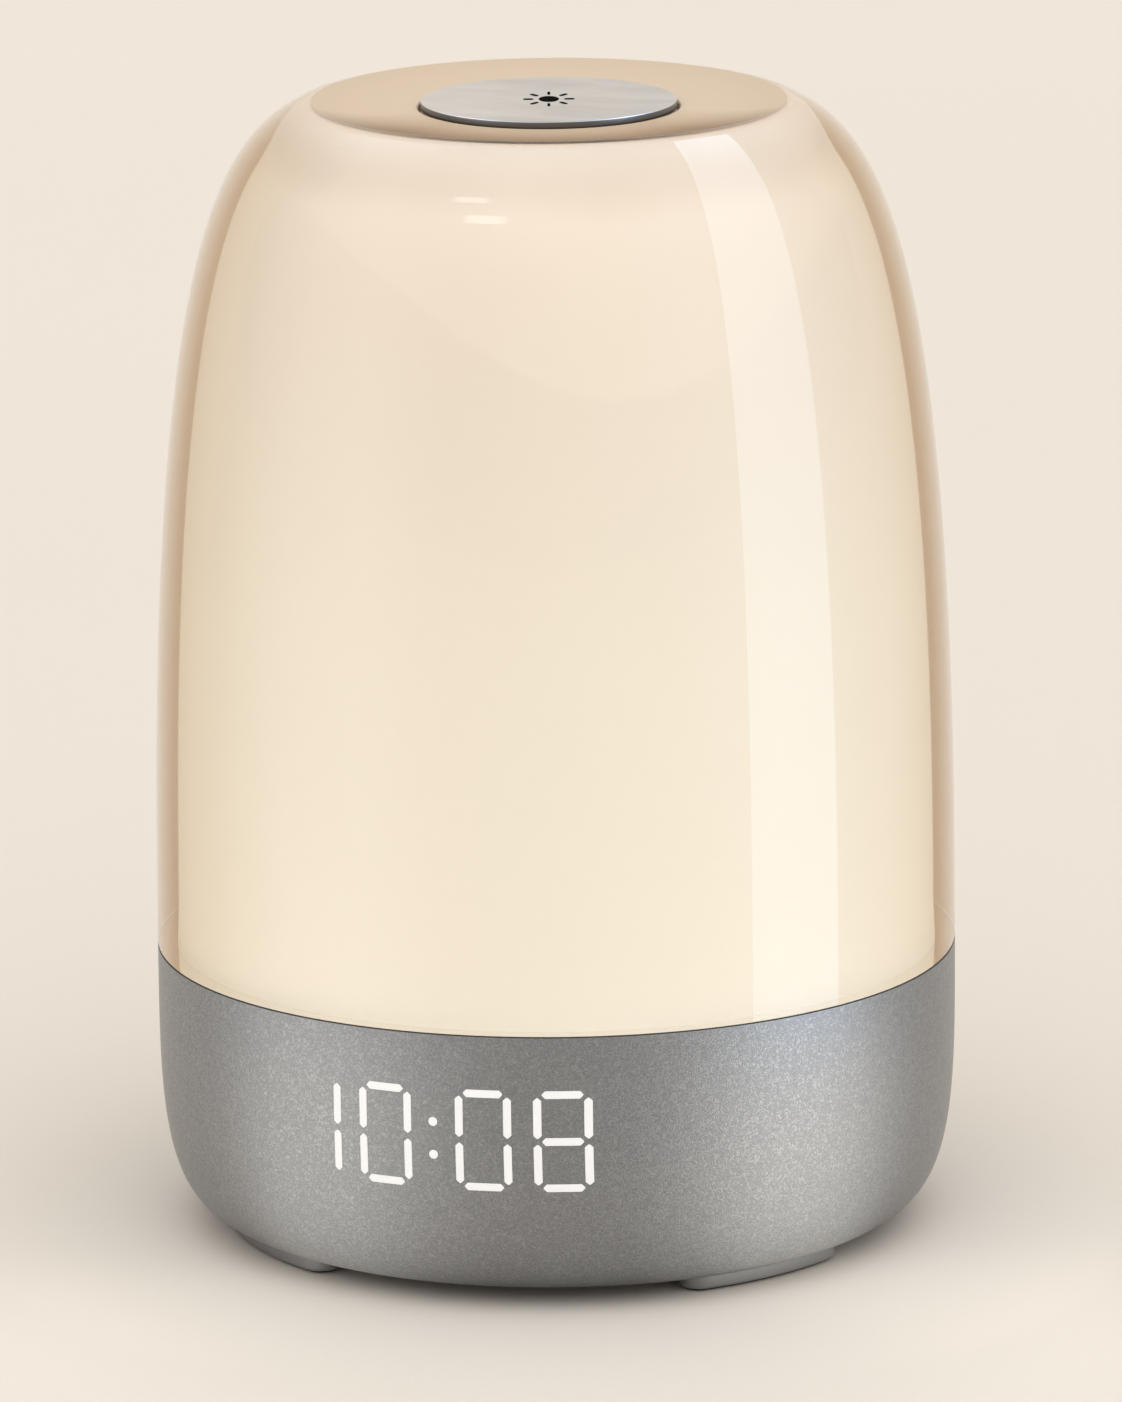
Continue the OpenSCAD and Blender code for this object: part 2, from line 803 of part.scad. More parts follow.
module column_lead() {
    color([0.85, 0.2, 0.15]) translate([0, 0, connector_top_z])
        cylinder(h = housing_floor_z - connector_top_z, r = lead_r);
}

// Top button

module button_housing() {
    color([0.93, 0.93, 0.91]) difference() {
        union() {
            translate([0, 0, column_top_z]) cylinder(h = ceiling_z - column_top_z, r = housing_r);
            translate([0, 0, diffuser_roof_z - flange_t])
                cylinder(h = flange_t, r = housing_r + flange_w);
            translate([0, 0, column_top_z - socket_h])
                cylinder(h = socket_h, r = column_r + snug + socket_wall);
        }
        translate([0, 0, housing_floor_z]) cylinder(h = housing_depth + cut, r = bore_r);
        translate([0, 0, column_top_z - socket_h - cut])
            cylinder(h = socket_h + cut, r = column_r + snug);
        translate([0, 0, column_top_z - cut])
            cylinder(h = housing_floor_t + 2 * cut, r = lead_hole_r);
        around(lug_count, bore_r - housing_wall / 2, lug_turn)
            translate([0, 0, skirt_z - button_travel - play])
                block(2 * housing_wall + 2 * snug, lug_w + 2 * play,
                    lug_h + button_travel + play + stop_gap);
    }
}

module button_carrier() {
    color([0.88, 0.88, 0.86]) {
        difference() {
            translate([0, 0, skirt_z]) cylinder(h = disc_z - skirt_z, r = carrier_r);
            translate([0, 0, skirt_z - cut])
                cylinder(h = carrier_z - skirt_z + cut, r = carrier_r - skirt_wall);
        }
        translate([0, 0, plunger_top_z]) cylinder(h = carrier_z - plunger_top_z, r = stem_r);
        around(lug_count, carrier_r, lug_turn) intersection() {
            translate([0, 0, skirt_z]) block(2 * lug_out, lug_w, lug_h);
            translate([-carrier_r, 0, skirt_z - cut]) ring(carrier_r + lug_out,
                carrier_r - skirt_wall, lug_h + 2 * cut);
        }
    }
}

module touch_disc() {
    color([0.72, 0.72, 0.74]) rotate_extrude() polygon([[0, disc_z], [disc_r - disc_edge, disc_z],
        [disc_r, disc_z + disc_edge], [disc_r, disc_top_z - disc_edge],
        [disc_r - disc_edge, disc_top_z], [0, disc_top_z]]);
}

module switch_board() {
    color([0.10, 0.30, 0.18]) translate([0, 0, housing_floor_z])
        cylinder(h = switch_board_t, r = switch_board_r);
}

module switch_body() {
    color([0.12, 0.12, 0.12]) difference() {
        translate([0, 0, switch_z]) block(switch_size, switch_size, switch_h);
        translate([0, 0, plunger_top_z - plunger_proud - plunger_inset - button_travel - play])
            cylinder(h = switch_h, r = plunger_r + snug);
    }
}

module switch_plunger() {
    color([0.25, 0.25, 0.27]) translate([0, 0, plunger_top_z - plunger_proud - plunger_inset])
        cylinder(h = plunger_proud + plunger_inset, r = plunger_r);
}

// Coil spring between the housing's floor and the carrier's plate: one unbroken wire whose
// ends lie flat for a quarter turn
spring_low_z = housing_floor_z + spring_wire_d / 2;
spring_rise = carrier_z - housing_floor_z - spring_wire_d;
spring_total = spring_turns + 2 * spring_end_turns;
function spring_height(turn) = spring_low_z + spring_rise
    * min(max((turn - spring_end_turns) / spring_turns, 0), 1);
spring_rings = [for (i = [0:spring_total * spring_steps])
    let (turn = i / spring_steps, a = 360 * turn)
    [for (k = [0:spring_sides - 1]) let (b = 360 * k / spring_sides,
        r = spring_r + spring_wire_d / 2 * cos(b))
        [r * cos(a), r * sin(a), spring_height(turn) + spring_wire_d / 2 * sin(b)]]];
spring_pitch = spring_rise / spring_turns;
echo(least_gap_of_spring = (1 - spring_end_turns) * spring_pitch - spring_wire_d);

// Closed tube through a list of rings of points
module skin(rings) {
    n = len(rings);
    m = len(rings[0]);
    polyhedron(points = [for (r = rings) each r], faces = concat(
        [[for (k = [0:m - 1]) k]],
        [for (i = [0:n - 2], k = [0:m - 1])
            [i * m + k, (i + 1) * m + k, (i + 1) * m + (k + 1) % m]],
        [for (i = [0:n - 2], k = [0:m - 1])
            [i * m + k, (i + 1) * m + (k + 1) % m, i * m + (k + 1) % m]],
        [[for (k = [m - 1:-1:0]) (n - 1) * m + k]]));
}

module button_spring() {
    color([0.75, 0.75, 0.77]) skin(spring_rings);
}

// Underside

module bottom_cover() {
    color([0.40, 0.40, 0.41]) difference() {
        union() {
            translate([0, 0, foot_h]) cylinder(h = cover_t, r = cover_r);
            around(posts_n, post_ring_r, posts_turn)
                translate([0, 0, foot_h]) cylinder(h = cover_t + cover_boss_h, r = post_r);
            translate([0, speaker_y, foot_h]) ring(speaker_r + snug + speaker_wall,
                speaker_r + snug, cover_t + speaker_wall_h);
            translate([0, battery_y, foot_h])
                cylinder(h = bay_roof_z + bay_roof_t - foot_h, r = bay_r + bay_wall);
            translate([0, ear_y, foot_h]) cylinder(h = cover_t + ear_boss_h, r = ear_boss_r);
        }
        around(posts_n, post_ring_r, posts_turn) {
            translate([0, 0, foot_h - cut])
                cylinder(h = screw_sink + cut, r = screw_head_r + play);
            translate([0, 0, foot_h]) cylinder(h = cover_t + cover_boss_h + cut, r = screw_r + snug);
        }
        translate([0, speaker_y, foot_h - cut]) grille_holes();
        translate([0, battery_y, foot_h - cut])
            cylinder(h = bay_roof_z - foot_h + cut, r = bay_r);
        translate([0, 0, foot_h - cut]) linear_extrude(height = cut + hatch_t) hatch_plan(snug);
        translate([0, ear_y, foot_h]) cylinder(h = hatch_screw_l, r = hatch_screw_r + thread_gap);
    }
}

module grille_holes() {
    cylinder(h = cover_t + 2 * cut, r = grille_hole_r);
    for (k = [1:grille_rings])
        around(6 * k, k * grille_pitch) cylinder(h = cover_t + 2 * cut, r = grille_hole_r);
}

module hatch_plan(grow) {
    translate([0, battery_y]) circle(r = hatch_r + grow);
    translate([0, ear_y]) circle(r = ear_r + grow);
}

module battery_hatch() {
    color([0.36, 0.36, 0.37]) difference() {
        translate([0, 0, foot_h]) linear_extrude(height = hatch_t) hatch_plan(0);
        translate([0, ear_y, foot_h - cut]) {
            cylinder(h = hatch_t + 2 * cut, r = hatch_screw_r + snug);
            cylinder(h = cut + hatch_head_h, r = hatch_head_r + snug);
        }
        translate([0, battery_y + hatch_r / 2, foot_h - cut])
            cylinder(h = cut + hatch_notch_d, r = hatch_notch_r);
    }
}

module hatch_screw() {
    color("silver") translate([0, ear_y, foot_h + hatch_head_h]) rotate([180, 0, 0])
        screw(hatch_screw_r, hatch_screw_l - hatch_head_h - play, hatch_head_r, hatch_head_h - snug);
}

module coin_cell() {
    color([0.80, 0.80, 0.82]) translate([0, battery_y, hatch_top_z])
        cylinder(h = cell_t, r = cell_r);
}

module cell_contacts() {
    color([0.85, 0.72, 0.35]) {
        translate([0, battery_y, cell_top_z]) cylinder(h = contact_bump_h, r = contact_bump_r);
        translate([0, battery_y, cell_top_z + contact_bump_h])
            block(contact_l, contact_w, contact_t);
        translate([0, battery_y, hatch_top_z + contact_t]) rotate([0, 0, -contact_arc / 2])
            rotate_extrude(angle = contact_arc)
                translate([cell_r + contact_gap, 0]) square([contact_t, cell_t - contact_t]);
    }
}

module cover_screws() {
    color("silver") around(posts_n, post_ring_r, posts_turn)
        translate([0, 0, foot_h + screw_sink]) rotate([180, 0, 0])
            screw(screw_r, screw_l, screw_head_r, screw_head_h);
}

module speaker_gasket() {
    color([0.10, 0.10, 0.10]) translate([0, speaker_y, cover_top_z])
        ring(speaker_r, speaker_r - gasket_w, gasket_t);
}

module speaker_frame() {
    r = speaker_r - gasket_w;
    wall = speaker_flange_t;
    color([0.20, 0.20, 0.21]) translate([0, speaker_y, 0]) rotate_extrude() polygon([
        [r, speaker_z], [speaker_r, speaker_z], [speaker_r, speaker_z + wall], [r, speaker_z + wall],
        [speaker_back_r, speaker_back_z], [cap_r, speaker_back_z],
        [cap_r, speaker_back_z - wall], [speaker_back_r - wall, speaker_back_z - wall],
        [r - wall, speaker_z + wall]]);
}

module speaker_cone() {
    r = speaker_r - gasket_w - speaker_flange_t - play;
    z = speaker_z + speaker_flange_t;
    color([0.15, 0.15, 0.16]) translate([0, speaker_y, 0]) rotate_extrude() polygon([
        [0, z + cone_rise - cone_t], [cap_r, z + cone_rise], [r, z], [r, z + cone_t],
        [cap_r, z + cone_rise + cone_t], [0, z + cone_rise]]);
}

module speaker_magnet() {
    color([0.55, 0.55, 0.57]) translate([0, speaker_y, speaker_back_z])
        cylinder(h = magnet_h, r = magnet_r);
}

// Lead from the speaker's basket up to the main board
module speaker_lead() {
    color([0.15, 0.15, 0.15]) translate([speaker_lead_x, speaker_y, speaker_back_z])
        cylinder(h = board_z - speaker_back_z, r = speaker_lead_r);
}

// Feet

module foot_section(h) {
    translate([0, foot_round]) square([foot_w, h - foot_round]);
    translate([foot_round, 0]) square([foot_w - 2 * foot_round, h]);
    for (x = [foot_round, foot_w - foot_round]) translate([x, foot_round]) circle(foot_round);
}

module foot(k) {
    color([0.52, 0.52, 0.53]) rotate([0, 0, foot_angles[k]]) difference() {
        translate([0, 0, foot_clear])
            foot_plan(0) foot_section(foot_h + foot_pocket - foot_clear);
        translate([0, 0, foot_clear - cut])
            sole_plan(sole_inset - snug) square([sole_w + 2 * snug, cut + sole_t - foot_clear]);
    }
}

module sole_plan(inset) {
    rotate([0, 0, -foot_arc / 2 + foot_end_angle])
        rotate_extrude(angle = foot_arc - 2 * foot_end_angle)
            translate([foot_mid_r - foot_w / 2 + inset, 0]) children(0);
    for (s = [-1, 1])
        rotate([0, 0, s * (foot_arc / 2 - foot_end_angle)]) translate([foot_mid_r, 0, 0])
            rotate_extrude() intersection() {
                translate([-foot_w / 2 + inset, 0]) children(0);
                translate([0, -cut]) square([foot_w, foot_w]);
            }
}

module foot_right() { foot(0); }
module foot_rear() { foot(1); }
module foot_left() { foot(2); }

module foot_soles() {
    color([0.12, 0.12, 0.12]) for (a = foot_angles)
        rotate([0, 0, a]) sole_plan(sole_inset) square([sole_w, sole_t]);
}

// Main board

module main_board() {
    color([0.10, 0.30, 0.18]) difference() {
        intersection() {
            translate([0, 0, board_z]) cylinder(h = board_t, r = board_r);
            translate([-body_r, board_front_y, board_z])
                cube([body_d, board_rear_y - board_front_y, board_t]);
        }
        around(posts_n, post_ring_r, posts_turn)
            translate([0, 0, board_z - cut]) cylinder(h = board_t + 2 * cut, r = post_r + play);
        around(posts_n, board_boss_ring, board_boss_turn) translate([0, 0, board_z - cut])
            cylinder(h = board_t + 2 * cut, r = small_screw_r + snug);
    }
}

module board_screws() {
    color("silver") around(posts_n, board_boss_ring, board_boss_turn)
        translate([0, 0, board_z]) rotate([180, 0, 0])
            screw(small_screw_r, board_t + board_screw_l - cut, small_head_r, small_head_h);
}

// Boxes on the board: [x, y, width, depth] as shares of the board's radius, then height
// as a share of the lead connector's height
chip_shares = [[0, 0, 0.18, 0.12, 1], [-0.32, -0.18, 0.23, 0.23, 0.28],
    [0.27, -0.23, 0.16, 0.16, 0.24], [-0.64, 0.14, 0.14, 0.11, 0.4],
    [0.41, 0.23, 0.27, 0.18, 0.6], [-0.23, 0.59, 0.2, 0.1, 1],
    [0.14, -0.68, 0.27, 0.1, 0.5], [0.23, 0.68, 0.2, 0.1, 1]];
// Round parts: [x, y, radius] as shares of the board's radius, then height as before
can_shares = [[-0.6, -0.28, 0.072, 1.4], [0.61, 0.09, 0.09, 1.6], [-0.41, 0.27, 0.057, 1.2]];

module board_parts() {
    for (c = chip_shares) color([0.13, 0.13, 0.14])
        translate([c[0] * board_r, c[1] * board_r, board_top_z])
            block(c[2] * board_r, c[3] * board_r, c[4] * connector_h);
    for (c = can_shares) color([0.70, 0.72, 0.75])
        translate([c[0] * board_r, c[1] * board_r, board_top_z])
            cylinder(h = c[3] * connector_h, r = c[2] * board_r);
}

// Rear panel

module rear_panel() {
    color([0.16, 0.16, 0.17]) difference() {
        union() {
            intersection() {
                base_form(shell_wall + snug);
                translate([0, panel_back_y - panel_depth + panel_t, panel_z])
                    upright(body_r) rounded_plate(panel_w + 2 * panel_flange,
                        panel_h + 2 * panel_flange, panel_corner);
            }
            intersection() {
                base_form(rim_sink);
                panel_window(-snug, body_r);
            }
        }
        translate([0, panel_y, panel_z])
            upright(body_r) rounded_plate(panel_w - 2 * panel_rim, panel_h - 2 * panel_rim,
                panel_corner - panel_rim);
        translate([0, 0, panel_z])
            upright(panel_back_y) rounded_plate(panel_hollow_w, panel_hollow_h, panel_corner);
        for (x = key_x) translate([x, 0, key_z])
            upright(body_r) circle(r = key_d / 2 + key_gap);
        translate([0, 0, rear_low_z])
            upright(body_r) slot_plate(usb_w + 2 * snug, usb_h + 2 * snug);
    }
    color([0.16, 0.16, 0.17]) for (s = [-1, 1])
        translate([s * rear_boss_x, rear_board_y, rear_low_z]) upright(panel_back_y - rear_board_y)
            difference() {
                circle(r = rear_boss_r);
                circle(r = small_screw_r + thread_gap);
            }
}

module rear_board() {
    color([0.10, 0.30, 0.18]) translate([0, rear_board_y - rear_board_t, panel_z])
        upright(rear_board_t) difference() {
            rounded_plate(rear_board_w, rear_board_h, panel_corner - rear_board_gap);
            for (s = [-1, 1]) translate([s * rear_boss_x, -rear_low])
                circle(r = small_screw_r + snug);
        }
}

module rear_screws() {
    color("silver") for (s = [-1, 1])
        translate([s * rear_boss_x, rear_board_y - rear_board_t, rear_low_z]) rotate([90, 0, 0])
            screw(small_screw_r, rear_board_t + rear_screw_l, small_head_r, small_head_h);
}

module key_switches() {
    color([0.12, 0.12, 0.12]) for (x = key_x) translate([x, 0, key_z]) difference() {
        translate([0, rear_board_y, 0]) upright(key_switch_h) square(switch_size, center = true);
        translate([0, key_bore_y, 0]) upright(key_switch_h) circle(r = plunger_r + snug);
    }
}

module key_plunger(k) {
    color([0.25, 0.25, 0.27]) translate([key_x[k], key_plunger_y, key_z])
        upright(key_stem_y - key_plunger_y) circle(r = plunger_r);
}

module key(k) {
    color([0.30, 0.30, 0.31]) translate([key_x[k], 0, key_z]) {
        translate([0, key_back_y - key_collar_t, 0]) upright(key_collar_t) circle(r = key_collar_r);
        translate([0, key_stem_y, 0]) upright(key_stem_l) circle(r = key_stem_r);
        translate([0, key_back_y, 0]) rotate([-90, 0, 0]) rotate_extrude() polygon([
            [0, 0], [key_d / 2, 0], [key_d / 2, key_cap_l - key_round],
            [key_d / 2 - key_round, key_cap_l], [0, key_cap_l]]);
    }
}

module time_key() { key(3); }
module alarm_key() { key(2); }
module minus_key() { key(1); }
module plus_key() { key(0); }
module time_plunger() { key_plunger(3); }
module alarm_plunger() { key_plunger(2); }
module minus_plunger() { key_plunger(1); }
module plus_plunger() { key_plunger(0); }

module usb_inlet() {
    color([0.75, 0.75, 0.77]) translate([0, rear_board_y, rear_low_z]) {
        difference() {
            upright(usb_l) slot_plate(usb_w, usb_h);
            translate([0, usb_back, 0])
                upright(usb_l) slot_plate(usb_w - 2 * usb_wall, usb_h - 2 * usb_wall);
        }
        upright(usb_l - usb_back / 2) square([usb_tongue_w, usb_tongue_h], center = true);
    }
}

module rear_ribbon() {
    y = rear_board_y - rear_board_t;
    color([0.85, 0.85, 0.80]) translate([-rear_ribbon_w / 2, y, board_top_z])
        rotate([90, 0, 90]) mirror([1, 0, 0])
            linear_extrude(height = rear_ribbon_w)
                ribbon_side(ribbon_reach, y - board_rear_y + ribbon_reach);
}

outer_dome();
inner_diffuser();
base_shell();
deck();
bottom_cover();
foot_left();
foot_right();
foot_rear();
foot_soles();
cover_screws();
battery_hatch();
hatch_screw();
coin_cell();
cell_contacts();
speaker_gasket();
speaker_frame();
speaker_cone();
speaker_magnet();
speaker_lead();
main_board();
board_parts();
board_screws();
display_mask();
display_film();
display_board();
display_leds();
display_ribbon();
hour_tens();
hour_units();
colon_dots();
minute_tens();
minute_units();
led_board();
light_leds();
reflector();
reflector_screws();
center_column();
column_screws();
column_lead();
button_housing();
switch_board();
switch_body();
switch_plunger();
button_spring();
button_carrier();
touch_disc();
rear_panel();
rear_board();
rear_screws();
key_switches();
usb_inlet();
rear_ribbon();
time_key();
alarm_key();
minus_key();
plus_key();
time_plunger();
alarm_plunger();
minus_plunger();
plus_plunger();
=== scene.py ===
# Bedside alarm clock lamp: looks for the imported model. Lengths are in millimetres, made
# metres by MM where a mesh is built. The display faces -Y and the lamp stands on Z = 0.
import json
import math

import bpy
from mathutils import Matrix, Vector


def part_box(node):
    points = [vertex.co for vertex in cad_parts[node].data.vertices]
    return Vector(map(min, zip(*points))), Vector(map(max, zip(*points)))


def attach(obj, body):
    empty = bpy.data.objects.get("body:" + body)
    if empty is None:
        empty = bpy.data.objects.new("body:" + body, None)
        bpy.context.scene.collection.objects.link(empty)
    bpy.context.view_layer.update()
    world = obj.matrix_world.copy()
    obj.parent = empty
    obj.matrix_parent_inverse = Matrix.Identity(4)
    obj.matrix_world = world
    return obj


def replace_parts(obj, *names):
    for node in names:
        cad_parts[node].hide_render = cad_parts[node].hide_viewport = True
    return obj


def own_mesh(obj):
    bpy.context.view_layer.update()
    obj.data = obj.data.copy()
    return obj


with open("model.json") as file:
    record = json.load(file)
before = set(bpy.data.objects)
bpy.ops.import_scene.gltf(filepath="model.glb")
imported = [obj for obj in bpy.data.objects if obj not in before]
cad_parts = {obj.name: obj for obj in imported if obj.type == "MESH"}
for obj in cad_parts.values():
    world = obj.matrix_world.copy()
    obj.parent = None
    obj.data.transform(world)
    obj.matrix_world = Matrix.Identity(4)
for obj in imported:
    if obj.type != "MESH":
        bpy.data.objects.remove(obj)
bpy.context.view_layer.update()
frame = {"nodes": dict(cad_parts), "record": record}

MM = 0.001
nodes = frame["nodes"]

# The base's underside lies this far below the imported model's
UNDERSIDE_DROP = 0.45

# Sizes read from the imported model
body_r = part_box("base_shell")[1].x / MM
seam_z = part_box("base_shell")[1].z / MM
underside_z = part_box("base_shell")[0].z / MM - UNDERSIDE_DROP
cover_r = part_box("bottom_cover")[1].x / MM
disc_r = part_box("touch_disc")[1].x / MM
disc_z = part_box("touch_disc")[0].z / MM
disc_top_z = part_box("touch_disc")[1].z / MM
ceiling_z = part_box("button_housing")[1].z / MM
diffuser_top_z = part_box("inner_diffuser")[1].z / MM
panel_low, panel_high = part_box("rear_panel")

# Curves of the dome and the base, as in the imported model
DOME_RISE = 129.4
DOME_POWER_R = 6.6
DOME_POWER_Z = 2.4
BASE_POWER_R = 6.6
BASE_POWER_Z = 3.76
BASE_CORNER_W = 28.7
DOME_WALL = 3.0
DIFFUSER_GAP = 0.3
DIFFUSER_WALL = 1.6
SHELL_WALL = 2.4
LIP_R = 37.0
LIP_ROUND = 5.0
LIP_IN_SLOPE = math.radians(14)
DISH_DEPTH = 0.9
DISC_GAP = 0.4
SEAM_EDGE = 0.18
HOUSING_HOLE_R = 21.3

# Clear wall under the lip, frosted dish and the well for the disc
TOP_WALL = 0.35
THIN_FROM_R = 46.0
RIM_END_R = 31.0
FROST_R = 35.2
WELL_DROP = 1.1
WELL_LEDGE = 3.5
WELL_EDGE = 0.2

# Steps of the curves
DOME_STEPS = 60
TOP_STEPS = 12
INNER_STEPS = 40
BASE_STEPS = 64

# Camera: turned this far from the display's axis, and this far above the table's plane
CAMERA_TURN = math.radians(17.7)
CAMERA_RISE = math.radians(13.295)
CAMERA_ROLL = math.radians(-0.514)
CAMERA_DISTANCE = 1600.0
CAMERA_AIM_RIGHT = 1.0
CAMERA_AIM_Z = 78.98
LENS_MM = 274.15
SENSOR_MM = 36.0

AROUND = 192


def turned_direction(angle):
    """Level direction at an angle to the right of the camera's side of the lamp."""
    turn = CAMERA_TURN + angle
    return Vector((math.sin(turn), -math.cos(turn), 0))


def camera_place():
    right = Vector((math.cos(CAMERA_TURN), math.sin(CAMERA_TURN), 0))
    aim = right * CAMERA_AIM_RIGHT + Vector((0, 0, CAMERA_AIM_Z))
    back = turned_direction(0) * math.cos(CAMERA_RISE) + Vector((0, 0, math.sin(CAMERA_RISE)))
    return aim, back


def make_camera():
    aim, back = camera_place()
    data = bpy.data.cameras.new("camera")
    data.sensor_fit = "VERTICAL"
    data.sensor_height = SENSOR_MM
    data.lens = LENS_MM
    data.clip_end = 50
    camera = bpy.data.objects.new("camera", data)
    bpy.context.scene.collection.objects.link(camera)
    turn = back.to_track_quat("Z", "Y").to_matrix().to_4x4()
    camera.matrix_world = (Matrix.Translation((aim + back * CAMERA_DISTANCE) * MM) @ turn
                           @ Matrix.Rotation(CAMERA_ROLL, 4, "Z"))
    bpy.context.scene.camera = camera


# Shader helpers

class Value:
    """A shader socket on which arithmetic adds Math nodes."""

    def __init__(self, finish, socket):
        self.finish = finish
        self.socket = socket

    def math(self, operation, *others, clamp=False):
        made = self.finish.tree.nodes.new("ShaderNodeMath")
        made.operation = operation
        made.use_clamp = clamp
        for slot, value in zip(made.inputs, (self, *others)):
            self.finish.feed(slot, value)
        return Value(self.finish, made.outputs[0])

    def __add__(self, other):
        return self.math("ADD", other)

    def __sub__(self, other):
        return self.math("SUBTRACT", other)

    def __mul__(self, other):
        return self.math("MULTIPLY", other)

    def __truediv__(self, other):
        return self.math("DIVIDE", other)

    def __rsub__(self, other):
        return (self * -1) + other

    __radd__ = __add__
    __rmul__ = __mul__

    def clamped(self):
        return self.math("ADD", 0, clamp=True)

    def band(self, centre, width):
        """1 where the value is at the centre, falling to 0 at the width from it."""
        return (1 - (self - centre).math("ABSOLUTE") / width).clamped()


class Finish:
    """A material being made: node() adds a node, colour helpers mix colours."""

    def __init__(self, name):
        self.material = bpy.data.materials.new(name)
        self.material.use_nodes = True
        self.tree = self.material.node_tree
        self.tree.nodes.clear()
        self.where = Value(self, self.node("ShaderNodeTexCoord").outputs["Object"])

    def feed(self, slot, value):
        if isinstance(value, Value):
            self.tree.links.new(value.socket, slot)
        else:
            slot.default_value = value

    def node(self, kind, settings=None, inputs=None):
        made = self.tree.nodes.new(kind)
        for name, value in (settings or {}).items():
            if name == "stops":
                self.set_stops(made.color_ramp, value)
            else:
                setattr(made, name, value)
        for name, value in (inputs or {}).items():
            self.feed(made.inputs[name], value)
        return made

    def set_stops(self, ramp, stops):
        while len(ramp.elements) < len(stops):
            ramp.elements.new(0.5)
        for element, (place, colour) in zip(ramp.elements, stops):
            element.position = place
            element.color = colour

    def noise(self, size, detail=2.0, stretch=(1, 1, 1), distortion=0.0):
        """Noise from 0 to 1 whose features are about size millimetres across."""
        mapped = self.node("ShaderNodeMapping", {}, {"Vector": self.where, "Scale": stretch})
        made = self.node("ShaderNodeTexNoise", {"noise_dimensions": "3D"}, {
            "Vector": Value(self, mapped.outputs[0]), "Scale": 1 / (size * MM),
            "Detail": detail, "Distortion": distortion})
        return Value(self, made.outputs[0])

    def height(self):
        """Height of the point above the table, in millimetres."""
        made = self.node("ShaderNodeSeparateXYZ", {}, {"Vector": self.where})
        return Value(self, made.outputs[2]) / MM

    def radius(self):
        """Distance of the point from the lamp's axis, in millimetres."""
        flat = self.node("ShaderNodeVectorMath", {"operation": "MULTIPLY"},
                         {0: self.where, 1: (1, 1, 0)})
        made = self.node("ShaderNodeVectorMath", {"operation": "LENGTH"},
                         {0: Value(self, flat.outputs[0])})
        return Value(self, made.outputs["Value"]) / MM

    def along(self, direction):
        """How far the point lies from the lamp's axis in a direction, in millimetres."""
        made = self.node("ShaderNodeVectorMath", {"operation": "DOT_PRODUCT"},
                         {0: self.where, 1: direction})
        return Value(self, made.outputs["Value"]) / MM

    def mix(self, factor, first, second):
        made = self.node("ShaderNodeMix", {"data_type": "RGBA"})
        self.feed(made.inputs[0], factor)
        self.feed(made.inputs[6], first)
        self.feed(made.inputs[7], second)
        return Value(self, made.outputs[2])

    def ramp(self, value, stops):
        made = self.node("ShaderNodeValToRGB", {"stops": stops}, {"Fac": value})
        return Value(self, made.outputs[0])

    def bump(self, height, distance, strength=1.0):
        made = self.node("ShaderNodeBump", {}, {
            "Height": height, "Distance": distance * MM, "Strength": strength})
        return Value(self, made.outputs[0])

    def principled(self, **inputs):
        named = {name.replace("_", " "): value for name, value in inputs.items()}
        return Value(self, self.node("ShaderNodeBsdfPrincipled", {}, named).outputs[0])

    def finish(self, surface, volume=None):
        output = self.node("ShaderNodeOutputMaterial", {}, {"Surface": surface})
        if volume is not None:
            self.feed(output.inputs["Volume"], volume)
        return self.material


# Attribute of the clear wall: 1 on its polished outer face, 0 on its inner face
POLISH = "polish"


def shade(r, g, b):
    return (r, g, b, 1.0)


def clear_wall_finish():
    """Clear wall with a warm tint that deepens with the depth looked through. Only its
    outer face is polished to a gloss."""
    made = Finish("clear_wall_warm_tint")
    polish = made.node("ShaderNodeAttribute", {"attribute_name": POLISH})
    surface = made.principled(
        Base_Color=shade(1, 1, 1), Roughness=0.0, IOR=1.0, Transmission_Weight=1.0,
        Coat_Weight=Value(made, polish.outputs["Fac"]), Coat_Roughness=0.015, Coat_IOR=1.45)
    tint = made.node("ShaderNodeVolumeAbsorption", {}, {
        "Color": shade(0.60, 0.36, 0.0), "Density": 36.0})
    return made.finish(surface, Value(made, tint.outputs[0]))


def opal_finish():
    """Opal diffuser, warm cream, softly lit from inside, with painted shade: darker towards
    the top, tan under the lip, and tan on the shoulder's sides and back."""
    shoulder_r, shoulder_fade, lip_fade = 41.8, 4.5, 3
    made = Finish("opal_cream")
    share = ((made.height() - seam_z) / DOME_RISE).clamped()
    cloud = made.noise(30, 1.0)
    # Painted shade: the cream darkens towards the top of the shell.
    wall = made.ramp(share + (cloud - 0.5) * 0.08, (
        (0.0, shade(0.729, 0.706, 0.634)), (0.4, shade(0.712, 0.685, 0.608)),
        (0.91, shade(0.635, 0.576, 0.508)), (1.0, shade(0.54, 0.46, 0.375))))
    # Painted shade: tan under the lip, where its shade falls.
    under_lip_shade = ((LIP_R - made.radius()) / lip_fade).clamped()
    glow = made.ramp(share, (
        (0.0, shade(0.17, 0.15, 0.12)), (0.35, shade(0.15, 0.13, 0.105)),
        (0.9, shade(0.13, 0.11, 0.085)), (1.0, shade(0.07, 0.05, 0.035))))
    # Painted shade: the shoulder turns tan on its sides and back, away from the camera's side.
    facing = (made.along(turned_direction(0)) / made.radius() * 2).clamped()
    shoulder = ((shoulder_r - made.radius()) / shoulder_fade).clamped() * (1 - facing)
    side = made.mix(shoulder, wall, shade(0.49, 0.38, 0.28))
    surface = made.principled(
        Base_Color=made.mix(under_lip_shade, side, shade(0.54, 0.42, 0.31)), Roughness=0.5,
        Emission_Color=glow, Emission_Strength=1.0)
    return made.finish(surface)


